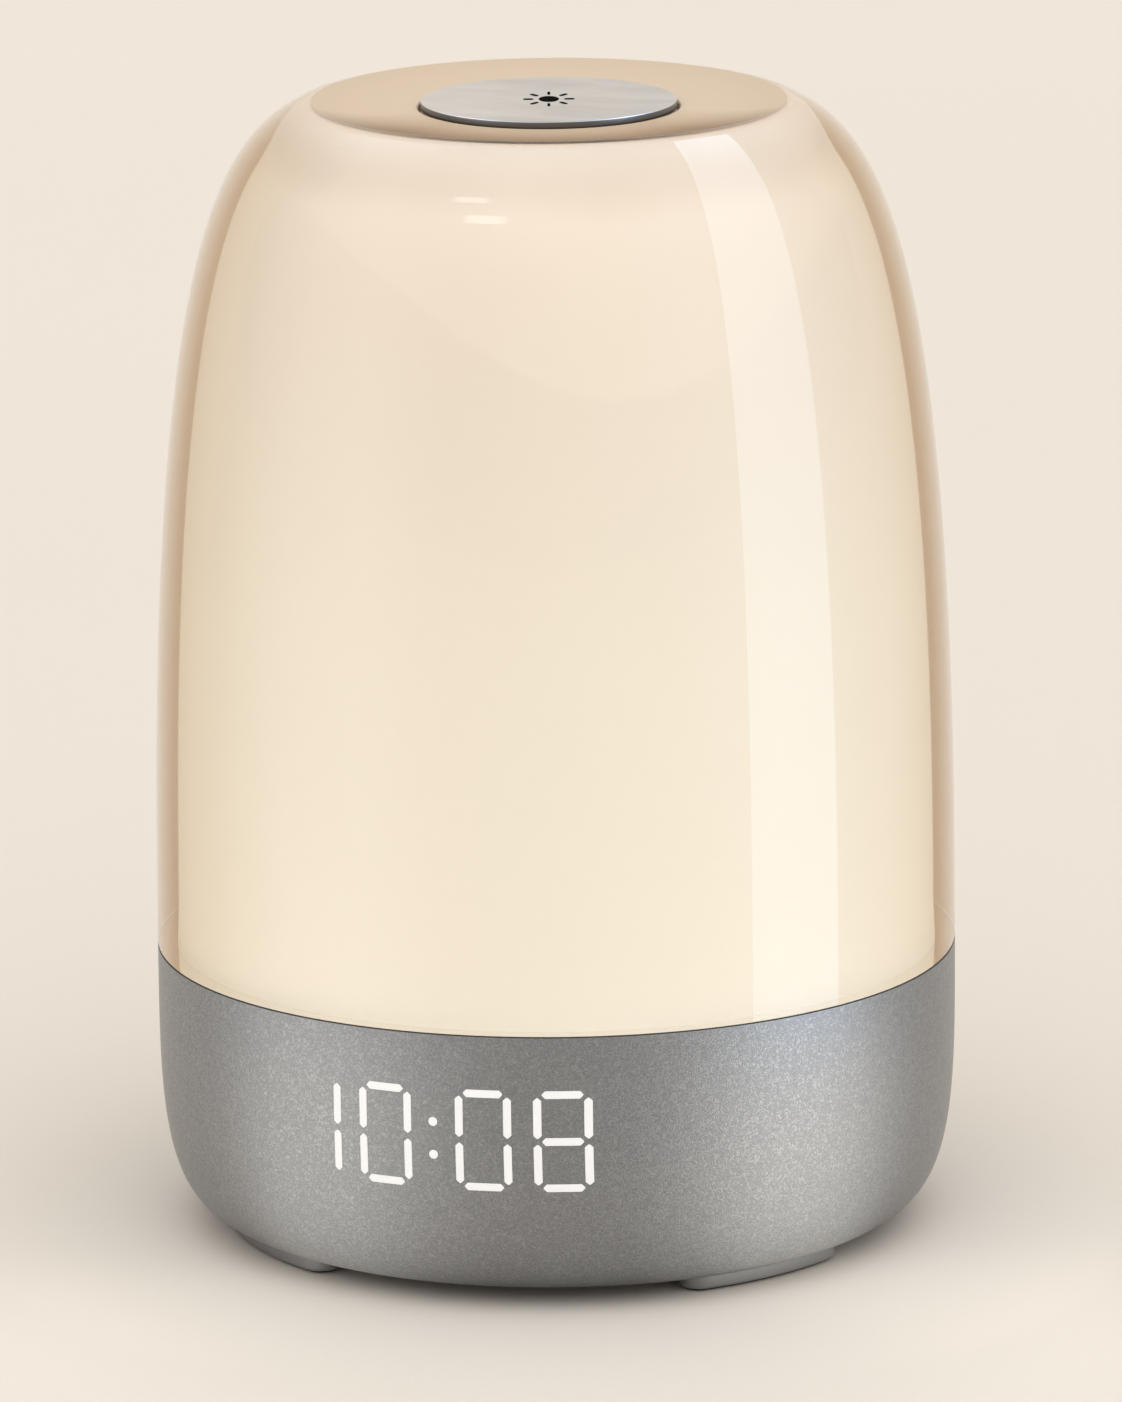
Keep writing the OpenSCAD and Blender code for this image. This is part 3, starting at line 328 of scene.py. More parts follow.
def seat_finish():
    """Bottom face of the clear wall, which mirrors the lamp's inside as polished glass does."""
    made = Finish("seat_mirror")
    cloud = made.noise(4, 1.0)
    colour = made.mix(cloud, shade(0.93, 0.90, 0.86), shade(0.96, 0.94, 0.91))
    return made.finish(made.principled(Base_Color=colour, Metallic=1.0, Roughness=0.06))


def dish_finish():
    """Frosted dish of the dome: warm tan, with painted shade darkening it towards the lip, deep
    brown on the camera's side.
    """
    made = Finish("frosted_dish")
    cloud = made.noise(12, 2.0)
    share = ((made.radius() + (cloud - 0.5) * 1.5) / LIP_R).clamped()
    # Painted shade: the tan darkens a little towards the lip all round.
    pale = made.ramp(share, (
        (0.5, shade(0.75, 0.61, 0.46)), (0.8, shade(0.73, 0.585, 0.435)),
        (0.94, shade(0.70, 0.56, 0.42))))
    # Painted shade: deep brown towards the lip, standing in for the lip's shade.
    deep = made.ramp(share, (
        (0.50, shade(0.68, 0.54, 0.39)), (0.62, shade(0.58, 0.44, 0.30)),
        (0.74, shade(0.44, 0.31, 0.205)), (0.82, shade(0.36, 0.245, 0.16)),
        (0.94, shade(0.36, 0.25, 0.165))))
    # Mask of the camera's side of the dish, where the painted shade is deep brown.
    near = ((made.along(turned_direction(0)) / made.radius() - 0.2) / 0.5).clamped()
    surface = made.principled(Base_Color=made.mix(near, pale, deep), Roughness=0.6,
                              Specular_IOR_Level=0.05)
    return made.finish(surface)


def grained_finish():
    """Mid-grey metallic paint with a fine worm-like grain."""
    made = Finish("grained_grey_metallic")
    worms = made.noise(0.5, 0.0, distortion=1.2).band(0.5, 0.11)
    fleck = made.noise(0.25, 1.0)
    cloud = made.noise(11, 2.0)
    mark = worms * 0.75 + fleck * 0.25
    colour = made.mix((mark + (cloud - 0.5) * 0.08).clamped(),
                      shade(0.213, 0.218, 0.227), shade(0.334, 0.343, 0.357))
    surface = made.principled(
        Base_Color=colour, Metallic=0.9, Roughness=0.40 - worms * 0.08,
        Normal=made.bump(mark, 0.03, 0.7))
    return made.finish(surface)


def brushed_disc_finish():
    """Satin steel, brushed across from left to right as the icon faces, with painted light on
    its left side.
    """
    made = Finish("satin_brushed_steel")
    hair = made.noise(0.12, 2.0, stretch=(0.03, 1, 1))
    patch = made.noise(9, 2.0, stretch=(0.5, 1, 1), distortion=0.6)
    sweep = made.noise(45, 0.0)
    mark = (hair * 0.3 + patch * 0.45 + sweep * 0.25 - 0.28) * 2
    # Painted light: the disc is lighter towards its left side.
    left = (made.along(turned_direction(-math.pi / 2)) / 60).clamped()
    colour = made.mix((mark + left).clamped(), shade(0.52, 0.53, 0.54),
                      shade(0.88, 0.885, 0.89))
    surface = made.principled(Base_Color=colour, Metallic=1.0, Roughness=0.30 + hair * 0.12,
                              Normal=made.bump(hair, 0.01, 0.5))
    return made.finish(surface)


def ink_finish():
    made = Finish("sign_black")
    fleck = made.noise(0.2, 1.0)
    colour = made.mix(fleck, shade(0.006, 0.006, 0.006), shade(0.012, 0.012, 0.012))
    return made.finish(made.principled(Base_Color=colour, Roughness=0.9,
                                       Specular_IOR_Level=0.0))


def plain_finish(name, dark, light, roughness=0.5, metallic=0.0, grain=0.3, depth=0.01,
                 coat=0.0, stretch=(1, 1, 1), strength=0.0):
    """Moulded, plated or painted finish with fine grain in its colour and its surface."""
    made = Finish(name)
    fine = made.noise(grain, 2.0, stretch=stretch)
    cloud = made.noise(grain * 25, 2.0)
    colour = made.mix(fine * 0.6 + cloud * 0.4, shade(*dark), shade(*light))
    inputs = {"Base_Color": colour, "Metallic": metallic,
              "Roughness": roughness + (fine - 0.5) * 0.1,
              "Normal": made.bump(fine, depth, 0.5), "Coat_Weight": coat}
    if strength:
        inputs["Emission_Color"] = shade(1.0, 1.0, 1.0)
        inputs["Emission_Strength"] = strength
    return made.finish(made.principled(**inputs))


# Mesh helpers

def deselect():
    if bpy.context.mode != "OBJECT":
        bpy.ops.object.mode_set(mode="OBJECT")
    bpy.ops.object.select_all(action="DESELECT")


def settle(piece, name, *finishes):
    """Names a piece, puts its place into its mesh and gives it its finishes."""
    if bpy.context.mode != "OBJECT":
        bpy.ops.object.mode_set(mode="OBJECT")
    piece.name = name
    piece.data.name = name
    bpy.ops.object.select_all(action="DESELECT")
    piece.select_set(True)
    bpy.context.view_layer.objects.active = piece
    bpy.ops.object.transform_apply(location=True, rotation=True, scale=True)
    for made in finishes:
        piece.data.materials.append(made)
    return piece


def smooth(piece, degrees=40):
    bpy.ops.object.select_all(action="DESELECT")
    piece.select_set(True)
    bpy.context.view_layer.objects.active = piece
    bpy.ops.object.shade_smooth_by_angle(angle=math.radians(degrees))


def turned(name, profile, *finishes):
    """A piece turned on the Z axis: one ring extruded from point to point of its profile."""
    deselect()
    r, z = profile[0]
    bpy.ops.mesh.primitive_circle_add(vertices=AROUND, radius=r * MM, location=(0, 0, z * MM))
    piece = bpy.context.object
    bpy.ops.object.mode_set(mode="EDIT")
    bpy.ops.mesh.select_all(action="SELECT")
    for next_r, next_z in profile[1:]:
        bpy.ops.mesh.extrude_region_move(
            TRANSFORM_OT_translate={"value": (0, 0, (next_z - z) * MM)})
        share = next_r / r
        bpy.ops.transform.resize(value=(share, share, 1), center_override=(0, 0, 0))
        r, z = next_r, next_z
    bpy.ops.mesh.select_all(action="SELECT")
    bpy.ops.mesh.remove_doubles(threshold=0.002 * MM)
    bpy.ops.mesh.normals_make_consistent(inside=False)
    settle(piece, name, *finishes)
    smooth(piece)
    return piece


def cut_away(piece, cutter):
    """Cuts the cutter's shape out of the piece and deletes the cutter."""
    made = piece.modifiers.new("cut", "BOOLEAN")
    made.operation = "DIFFERENCE"
    made.solver = "EXACT"
    made.object = cutter
    bpy.context.view_layer.objects.active = piece
    bpy.ops.object.modifier_apply(modifier=made.name)
    bpy.data.objects.remove(cutter)


# Curves

def dome_slope(r):
    share = (r / body_r) ** DOME_POWER_R
    return math.atan(DOME_RISE * DOME_POWER_R / (DOME_POWER_Z * body_r)
                     * (1 - share) ** (1 / DOME_POWER_Z - 1)
                     * (r / body_r) ** (DOME_POWER_R - 1))


def dome_height(r, inset=0.0):
    share = (r / (body_r - inset)) ** DOME_POWER_R
    return seam_z + (DOME_RISE - inset) * (1 - share) ** (1 / DOME_POWER_Z)


def dome_radius(inset, z):
    share = ((z - seam_z) / (DOME_RISE - inset)) ** DOME_POWER_Z
    return (body_r - inset) * (1 - share) ** (1 / DOME_POWER_R)


def dome_curve(inset, r_end, steps):
    """Points of the dome's curve, set in by an inset, from the seam up to a radius."""
    r_seam = body_r - inset
    end = math.acos((r_end / r_seam) ** (DOME_POWER_R / 2))
    points = []
    for i in range(steps + 1):
        u = end * i / steps
        points.append((r_seam * math.cos(u) ** (2 / DOME_POWER_R),
                       seam_z + (DOME_RISE - inset) * math.sin(u) ** (2 / DOME_POWER_Z)))
    return points


def dome_top(steps):
    """Points over the rounded lip and down to the flat dish."""
    out = dome_slope(LIP_R)
    top = dome_height(LIP_R) + LIP_ROUND * (1 - math.cos(out))
    centre = LIP_R - LIP_ROUND * math.sin(out)
    points = []
    for i in range(1, steps + 1):
        a = out - (out + LIP_IN_SLOPE) * i / steps
        points.append((centre + LIP_ROUND * math.sin(a), top - LIP_ROUND * (1 - math.cos(a))))
    ramp_r, ramp_z = points[-1]
    ramp_w = 3 * DISH_DEPTH / math.tan(LIP_IN_SLOPE)
    for i in range(1, steps + 1):
        left = 1 - i / steps
        points.append((ramp_r - ramp_w * (1 - left),
                       ramp_z - DISH_DEPTH + DISH_DEPTH * left ** 3))
    return points


def base_point(u, inset=0.0):
    return (body_r - inset - BASE_CORNER_W * (1 - max(math.cos(u), 0) ** (2 / BASE_POWER_R)),
            seam_z - (seam_z - underside_z - inset) * math.sin(u) ** (2 / BASE_POWER_Z))


def base_radius(z):
    """Radius of the base's face at a height."""
    sine = ((seam_z - z) / (seam_z - underside_z)) ** (BASE_POWER_Z / 2)
    return body_r - BASE_CORNER_W * (1 - math.sqrt(1 - sine ** 2) ** (2 / BASE_POWER_R))


def base_curve(inset, steps):
    return [base_point(math.pi / 2 * i / steps, inset) for i in range(steps + 1)]


# Pieces of the lamp

def wall_depth(r, gap):
    """Depth of the clear wall and a gap under it: thinner under the lip than on the sides."""
    share = min(max((r - LIP_R) / (THIN_FROM_R - LIP_R), 0), 1)
    top = TOP_WALL + gap / 3
    return top + (DOME_WALL + gap - top) * share * share * (3 - 2 * share)


def under_wall(outer, gap=0.0):
    """Points inside the outer line, by the wall's depth and a gap, up to under the lip."""
    points = []
    for before, here, after in zip(outer, outer[1:], outer[2:]):
        run = Vector((after[0] - before[0], after[1] - before[1])).normalized()
        depth = wall_depth(here[0], gap)
        points.append((here[0] - run.y * depth, here[1] + run.x * depth))
    return [point for point in points if point[0] > RIM_END_R]


def dome_line():
    """Outer line of the dome from the seam over the lip to the dish."""
    return dome_curve(0, LIP_R, DOME_STEPS) + dome_top(TOP_STEPS)


def make_dome(clear, seat, frosted):
    """Clear outer wall: skirt, shoulder, lip and dish, with the well for the disc."""
    curve = dome_line()
    dish_z = curve[-1][1]
    well_r = disc_r + DISC_GAP
    floor_z = disc_z - WELL_DROP
    bore_r = disc_r - WELL_LEDGE
    inner = [(body_r - DOME_WALL, seam_z)] + under_wall(curve)
    profile = [(body_r - SEAM_EDGE, seam_z), (body_r, seam_z + SEAM_EDGE)] + curve[1:]
    profile += [(well_r + WELL_EDGE, dish_z), (well_r, dish_z - WELL_EDGE), (well_r, floor_z),
                (bore_r, floor_z), (bore_r, ceiling_z), (inner[-1][0], ceiling_z)]
    piece = turned("clear_dome", profile + inner[::-1] + [profile[0]], clear, seat, frosted)
    polish = piece.data.attributes.new(POLISH, "FLOAT", "FACE")
    for face in piece.data.polygons:
        r, z = math.hypot(face.center.x, face.center.y) / MM, face.center.z / MM
        on_top = face.normal.z > 0.3 and z > ceiling_z
        outside = r > dome_radius(DOME_WALL / 2, min(z, ceiling_z))
        polish.data[face.index].value = 1 if on_top or outside and face.normal.z > -0.1 else 0
        if face.normal.z < -0.9 and z < seam_z + 1:
            face.material_index = 1
        if r < FROST_R and (on_top or r < disc_r + 1) and z > ceiling_z and r > bore_r + 0.1:
            face.material_index = 2
    piece.visible_shadow = False
    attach(piece, "housing")
    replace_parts(piece, "outer_dome")


def make_diffuser(opal):
    """Opal shell close inside the dome, following it up under the lip."""
    inset = DOME_WALL + DIFFUSER_GAP + DIFFUSER_WALL
    roof_z = diffuser_top_z - DIFFUSER_WALL
    inner = dome_curve(inset, dome_radius(inset, roof_z), INNER_STEPS)
    outer_r = body_r - DOME_WALL - DIFFUSER_GAP
    outer = [(outer_r + DIFFUSER_GAP, seam_z)] + under_wall(dome_line(), DIFFUSER_GAP)
    profile = outer + [(outer[-1][0], diffuser_top_z), (HOUSING_HOLE_R, diffuser_top_z),
                       (HOUSING_HOLE_R, roof_z)] + inner[::-1]
    piece = turned("opal_diffuser", profile + [profile[0]], opal)
    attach(piece, "housing")
    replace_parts(piece, "inner_diffuser")


# Opening of the base for its cover, and window for the rear panel
COVER_GAP = 0.15
COVER_EDGE = 1.0
WINDOW_SIZE = (38, 30, 22)
WINDOW_CORNER = 3.0


def make_base(grained, joint):
    """Base shell with a fine edge at the seam, and the window for the rear panel."""
    outer = base_curve(0, BASE_STEPS)
    outer[0] = (body_r - SEAM_EDGE, seam_z)
    outer.insert(1, (body_r, seam_z - SEAM_EDGE))
    while outer[-1][0] < cover_r + COVER_EDGE:
        outer.pop()
    hole_r = cover_r + COVER_GAP
    outer.append((hole_r, underside_z))
    inner = [p for p in base_curve(SHELL_WALL, INNER_STEPS) if p[0] > hole_r + COVER_EDGE / 2]
    profile = outer + [(hole_r, underside_z + SHELL_WALL)] + inner[::-1]
    piece = turned("base_body", profile + [profile[0]], grained)
    deselect()
    middle_z = (panel_low.z + panel_high.z) / 2 / MM
    bpy.ops.mesh.primitive_cube_add(size=MM, location=(0, body_r * MM, middle_z * MM))
    window = bpy.context.object
    window.scale = WINDOW_SIZE
    bpy.ops.object.transform_apply(location=True, rotation=True, scale=True)
    bpy.ops.object.mode_set(mode="EDIT")
    bpy.ops.mesh.select_all(action="DESELECT")
    bpy.ops.object.mode_set(mode="OBJECT")
    for edge in window.data.edges:
        a, b = (window.data.vertices[i].co for i in edge.vertices)
        edge.select = abs(a.y - b.y) > WINDOW_SIZE[1] / 2 * MM
    bpy.ops.object.mode_set(mode="EDIT")
    bpy.ops.mesh.select_mode(type="EDGE")
    bpy.ops.mesh.bevel(offset=WINDOW_CORNER * MM, segments=8, affect="EDGES")
    bpy.ops.object.mode_set(mode="OBJECT")
    cut_away(piece, window)
    piece.data.materials.append(joint)
    for face in piece.data.polygons:
        if face.normal.z > 0.3 and face.center.z > (seam_z - SEAM_EDGE) * MM:
            face.material_index = 1
    smooth(piece)
    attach(piece, "housing")
    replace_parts(piece, "base_shell")


DISC_BEVEL = 0.28


def make_disc(steel, rim):
    """Steel touch disc: a cylinder with a bevelled rim, its side wall darkened as painted shade.
    """
    deselect()
    height = disc_top_z - disc_z
    bpy.ops.mesh.primitive_cylinder_add(
        vertices=AROUND, radius=disc_r * MM, depth=height * MM,
        location=(0, 0, (disc_z + height / 2) * MM))
    piece = bpy.context.object
    bpy.ops.object.mode_set(mode="EDIT")
    bpy.ops.mesh.select_all(action="DESELECT")
    bpy.ops.object.mode_set(mode="OBJECT")
    for edge in piece.data.edges:
        a, b = (piece.data.vertices[i].co for i in edge.vertices)
        edge.select = abs(a.z - b.z) < 0.01 * MM
    bpy.ops.object.mode_set(mode="EDIT")
    bpy.ops.mesh.select_mode(type="EDGE")
    bpy.ops.mesh.bevel(offset=DISC_BEVEL * MM, segments=3, affect="EDGES")
    settle(piece, "touch_disc_steel", steel, rim)
    # Painted shade: the disc's side wall takes a darker steel finish.
    for face in piece.data.polygons:
        if abs(face.normal.z) < 0.3:
            face.material_index = 1
    smooth(piece, 50)
    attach(piece, "top_button")
    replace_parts(piece, "touch_disc")


# Spring of the touch disc

SPRING_WIRE_D = 0.8
SPRING_TURNS = 5.5


def make_spring(steel):
    """Coil spring: the wire's section wound up with a screw modifier."""
    low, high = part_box("button_spring")
    length = (high.z - low.z) / MM
    half = SPRING_WIRE_D / 2
    deselect()
    bpy.ops.mesh.primitive_circle_add(
        vertices=12, radius=half * MM, location=(high.x - half * MM, 0, low.z + half * MM),
        rotation=(math.pi / 2, 0, 0))
    piece = bpy.context.object
    bpy.ops.object.transform_apply(location=True, rotation=True, scale=True)
    wind = piece.modifiers.new("wind", "SCREW")
    wind.angle = 2 * math.pi * SPRING_TURNS
    wind.screw_offset = (length - SPRING_WIRE_D) * MM
    wind.steps = 180
    wind.render_steps = 180
    bpy.ops.object.modifier_apply(modifier=wind.name)
    bpy.ops.object.mode_set(mode="EDIT")
    bpy.ops.mesh.select_all(action="SELECT")
    bpy.ops.mesh.fill_holes(sides=0)
    bpy.ops.mesh.select_all(action="SELECT")
    bpy.ops.mesh.normals_make_consistent(inside=False)
    settle(piece, "disc_spring", steel)
    smooth(piece)
    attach(piece, "housing")
    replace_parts(piece, "button_spring")
    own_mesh(piece)


# Feet

FOOT_ARC = math.radians(35)
FOOT_W = 6.5
FOOT_OUT_R = 50.4
FOOT_PLACES = {"foot_right": 39.5, "foot_left": -62, "foot_rear": 169}
FOOT_EDGE = 0.5
SOLE_INSET = 0.9
SOLE_EDGE = 0.15
SOLE_SINK = 0.2
foot_low_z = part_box("foot_left")[0].z / MM
foot_high_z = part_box("foot_left")[1].z / MM
sole_low_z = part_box("foot_soles")[0].z / MM


def foot_pad(inset, low_z, high_z, edge):
    """Curved pad with round ends, astride the camera's side: a grid bent to its plan,
    raised to its height and rounded along its lower rim."""
    deselect()
    bpy.ops.mesh.primitive_grid_add(x_subdivisions=40, y_subdivisions=12, size=2)
    piece = bpy.context.object
    mid_r = FOOT_OUT_R - FOOT_W / 2
    half_w = FOOT_W / 2 - inset
    half_l = mid_r * FOOT_ARC / 2 - inset
    for vertex in piece.data.vertices:
        across = vertex.co.y * half_w * 0.999
        along = vertex.co.x * (half_l - half_w + math.sqrt(half_w ** 2 - across ** 2))
        place = turned_direction(along / mid_r) * (mid_r - across)
        vertex.co = (place.x * MM, place.y * MM, low_z * MM)
    bpy.ops.object.mode_set(mode="EDIT")
    bpy.ops.mesh.select_all(action="SELECT")
    bpy.ops.mesh.extrude_region_move(
        TRANSFORM_OT_translate={"value": (0, 0, (high_z - low_z) * MM)})
    bpy.ops.mesh.select_all(action="SELECT")
    bpy.ops.mesh.normals_make_consistent(inside=False)
    bpy.ops.mesh.select_all(action="DESELECT")
    bpy.ops.object.mode_set(mode="OBJECT")
    faces = {}
    for face in piece.data.polygons:
        for key in face.edge_keys:
            faces.setdefault(key, []).append(face.normal.z)
    for line in piece.data.edges:
        flat, steep = sorted(abs(z) for z in faces[line.key])[::-1]
        line.select = flat > 0.9 and steep < 0.3
    bpy.ops.object.mode_set(mode="EDIT")
    bpy.ops.mesh.select_mode(type="EDGE")
    bpy.ops.mesh.bevel(offset=edge * MM, segments=3, affect="EDGES")
    bpy.ops.object.mode_set(mode="OBJECT")
    return piece


def placed_copy(piece, name, angle, made):
    """Copy of a pad with its own mesh, turned about the lamp's axis to its place."""
    copy = piece.copy()
    copy.data = piece.data.copy()
    bpy.context.scene.collection.objects.link(copy)
    copy.data.transform(Matrix.Rotation(math.radians(angle), 4, "Z"))
    settle(copy, name, made)
    smooth(copy)
    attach(copy, "housing")
    return copy


def make_feet(paint, rubber):
    """Three curved feet under the base, each on its rubber sole."""
    foot = foot_pad(0, foot_low_z, foot_high_z, FOOT_EDGE)
    sole = foot_pad(SOLE_INSET, sole_low_z, foot_low_z + SOLE_SINK, SOLE_EDGE)
    soles = []
    for node, angle in FOOT_PLACES.items():
        made = placed_copy(foot, node + "_pad", angle, paint)
        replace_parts(made, node)
        soles.append(placed_copy(sole, node + "_sole", angle, rubber))
    for piece in (foot, sole):
        bpy.data.objects.remove(piece)
    deselect()
    for piece in soles:
        piece.select_set(True)
    bpy.context.view_layer.objects.active = soles[0]
    bpy.ops.object.join()
    rubbers = bpy.context.object
    rubbers.name = "foot_rubbers"
    rubbers.data.name = "foot_rubbers"
    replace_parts(rubbers, "foot_soles")


# Display: place below the seam, then sizes and gaps of the lit figures

DISPLAY_DROP = 15.8
DIGIT_W = 7.1
DIGIT_H = 14.2
SEGMENT_T = 1.16
UPRIGHT_GAP = 0.85
LEVEL_GAP = 1.3
COLON_GAP = 7.5
DIGIT_PITCH = 11.4
DOT_D = 1.35
DOT_PITCH = 5.0
display_z = seam_z - DISPLAY_DROP
digit_x = {"hour_tens": -COLON_GAP - DIGIT_PITCH, "hour_units": -COLON_GAP,
           "minute_tens": COLON_GAP, "minute_units": COLON_GAP + DIGIT_PITCH}
segment_shares = ((0, 1, False), (1, 0.5, True), (1, -0.5, True), (0, -1, False),
                  (-1, -0.5, True), (-1, 0.5, True), (0, 0, False))
shown = {"hour_tens": (1, 2), "hour_units": (0, 1, 2, 3, 4, 5),
         "minute_tens": (0, 1, 2, 3, 4, 5), "minute_units": (0, 1, 2, 3, 4, 5, 6)}
PROUD = 0.03
LIT_DEPTH = 0.2
NOSE_ROUND = 0.1


def lit_segment(x, z, length, upright):
    """One six-sided segment as a grid, its ends drawn in to blunt points."""
    deselect()
    bpy.ops.mesh.primitive_grid_add(x_subdivisions=12, y_subdivisions=6, size=2)
    piece = bpy.context.object
    half = SEGMENT_T / 2
    for vertex in piece.data.vertices:
        across = vertex.co.y * half
        reach = length / 2 - (math.hypot(across, NOSE_ROUND) - NOSE_ROUND)
        along = vertex.co.x * reach
        px, pz = (x + across, z + along) if upright else (x + along, z - across)
        vertex.co = (px, 0, pz)
    return piece


def lit_dot(x, z):
    deselect()
    bpy.ops.mesh.primitive_circle_add(vertices=32, radius=DOT_D / 2, fill_type="TRIFAN")
    piece = bpy.context.object
    for vertex in piece.data.vertices:
        vertex.co = (x + vertex.co.x, 0, z + vertex.co.y)
    return piece


def press_on_base(parts, name, lit):
    """Joins flat figures, lays them on the base's face and gives them depth."""
    deselect()
    for part in parts:
        part.select_set(True)
    bpy.context.view_layer.objects.active = parts[0]
    bpy.ops.object.join()
    piece = bpy.context.object
    for vertex in piece.data.vertices:
        x, z = vertex.co.x, vertex.co.z
        r = base_radius(z) + PROUD
        vertex.co = (x * MM, -math.sqrt(r * r - x * x) * MM, z * MM)
    bpy.ops.object.mode_set(mode="EDIT")
    bpy.ops.mesh.select_all(action="SELECT")
    bpy.ops.mesh.extrude_region_move(
        TRANSFORM_OT_translate={"value": (0, LIT_DEPTH * MM, 0)})
    bpy.ops.mesh.select_all(action="SELECT")
    bpy.ops.mesh.normals_make_consistent(inside=False)
    settle(piece, name, lit)
    smooth(piece, 30)
    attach(piece, "housing")
    return piece


def make_display(lit):
    for digit, segments in shown.items():
        parts = []
        for k in segments:
            sx, sz, upright = segment_shares[k]
            length = DIGIT_H / 2 - UPRIGHT_GAP if upright else DIGIT_W - LEVEL_GAP
            parts.append(lit_segment(digit_x[digit] + sx * DIGIT_W / 2,
                                     display_z + sz * DIGIT_H / 2, length, upright))
        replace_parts(press_on_base(parts, digit + "_lit", lit), digit)
    dots = [lit_dot(0, display_z + side * DOT_PITCH / 2) for side in (-1, 1)]
    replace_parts(press_on_base(dots, "colon_lit", lit), "colon_dots")


# Sun sign on the disc: plate height, stretch to the back, then its dot and its rays

SUN_H = 0.03
SUN_STRETCH = 1.6
SUN_R = 1.5
RAY_R = 3.05
RAY_HALF_L = 0.78
RAY_HALF_W = 0.22
RAY_WIDENING = 0.14


def sun_part(place, half_l, half_w, turn):
    """One stroke or dot of the sun: a round plate stretched to its size."""
    deselect()
    bpy.ops.mesh.primitive_cylinder_add(vertices=32, radius=1, depth=1)
    piece = bpy.context.object
    for vertex in piece.data.vertices:
        x, y = vertex.co.x, vertex.co.y
        blunt = math.copysign(min(abs(x) ** 0.5, 1), x)
        vertex.co.x = (blunt if half_l > 1.5 * half_w else x) * half_l
        vertex.co.y = y * half_w
        vertex.co.z = vertex.co.z * 2 * SUN_H
    piece.data.transform(Matrix.Rotation(turn, 4, "Z"))
    piece.data.transform(Matrix.Translation((*place, 0)))
    return piece


def make_sun(black):
    """Brightness sign: a filled oval with eight rays, upright for the camera's side."""
    parts = [sun_part((0, 0), SUN_R, SUN_R, 0)]
    for k in range(8):
        angle = k * math.pi / 4
        place = (math.cos(angle) * RAY_R, math.sin(angle) * RAY_R)
        half_w = RAY_HALF_W + RAY_WIDENING * abs(math.cos(angle))
        parts.append(sun_part(place, RAY_HALF_L, half_w, angle))
    deselect()
    for part in parts:
        part.select_set(True)
    bpy.context.view_layer.objects.active = parts[0]
    bpy.ops.object.join()
    piece = bpy.context.object
    piece.data.transform(Matrix.Diagonal((MM, MM * SUN_STRETCH, MM, 1)))
    piece.data.transform(Matrix.Rotation(CAMERA_TURN, 4, "Z"))
    piece.data.transform(Matrix.Translation((0, 0, disc_top_z * MM)))
    settle(piece, "sun_sign", black)
    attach(piece, "top_button")


# Lights, floor and backdrop: panels as (degrees right of the camera, glow) on the face
# that mirrors them, bars as (start, end, low radius, high radius)

STRIP_RIGHT = ((28.5, 1), (43.5, 1))
STRIP_LEFT = ((-56, 0), (-41, 1), (-30, 1), (-16, 0))
BASE_RIGHT = ((11, 0), (20, 0.3), (31, 1), (42, 1), (57, 0))
BASE_LEFT = ((-54, 0), (-43, 1), (-32, 1), (-20, 0.35), (-10, 0))
DOME_REACH = 120.0
BASE_REACH = 45.0
FLOOR_CLEAR = 0.5
BARS = ((-18.8, -10.3, 45.0, 45.5), (-15.9, -7.0, 46.6, 47.2))
BAR_FADE = 2.0
DIM_SHARE = 1.3
DIM_POWER = 1.3
STRIP_RIGHT_LIGHT = 3.2
STRIP_LEFT_LIGHT = 1.5
BASE_RIGHT_LIGHT = 2.6
BASE_LEFT_LIGHT = 2.0
BAR_LIGHT = 4.2
COOL_TINT = (0.66, 0.80, 1.0)
WARM_TINT = (1.0, 0.95, 0.865)
GLOW = "glow"


def emitter(name, bright, tint=(1, 1, 1)):
    """Light of a panel: nothing where its glow is 0, bright where it is 1."""
    made = Finish(name)
    glow = made.node("ShaderNodeAttribute", {"attribute_name": GLOW}).outputs["Fac"]
    light = made.node("ShaderNodeEmission", {}, {"Color": shade(*tint), "Strength": bright})
    mixed = made.node("ShaderNodeMixShader", {}, {"Fac": Value(made, glow)})
    clear = made.node("ShaderNodeBsdfTransparent")
    made.feed(mixed.inputs[1], Value(made, clear.outputs[0]))
    made.feed(mixed.inputs[2], Value(made, light.outputs[0]))
    return made.finish(Value(made, mixed.outputs[0]))


def mirrored(point, normal, reach):
    """Where a lamp has to be so that the camera sees it in the surface at this point."""
    aim, back = camera_place()
    view = (aim + back * CAMERA_DISTANCE - point).normalized()
    onward = 2 * normal.dot(view) * normal - view
    if onward.z < 0:
        reach = min(reach, (point.z - FLOOR_CLEAR) / -onward.z)
    return point + onward * reach


def seen_in_dome(angle, r):
    """Lamp place for the dome's face, at degrees right of the camera, at a radius."""
    slope = dome_slope(r)
    out = turned_direction(math.radians(angle))
    normal = out * math.sin(slope) + Vector((0, 0, math.cos(slope)))
    return mirrored(out * r + Vector((0, 0, dome_height(r))), normal, DOME_REACH)


def seen_in_base(angle, u):
    """Lamp place for the base's face, at degrees right of the camera, at a curve angle."""
    r, z = base_point(u)
    low_r, low_z = base_point(u + 0.01)
    fall = math.atan2(r - low_r, z - low_z)
    out = turned_direction(math.radians(angle))
    normal = out * math.cos(fall) - Vector((0, 0, math.sin(fall)))
    return mirrored(out * r + Vector((0, 0, z)), normal, BASE_REACH)


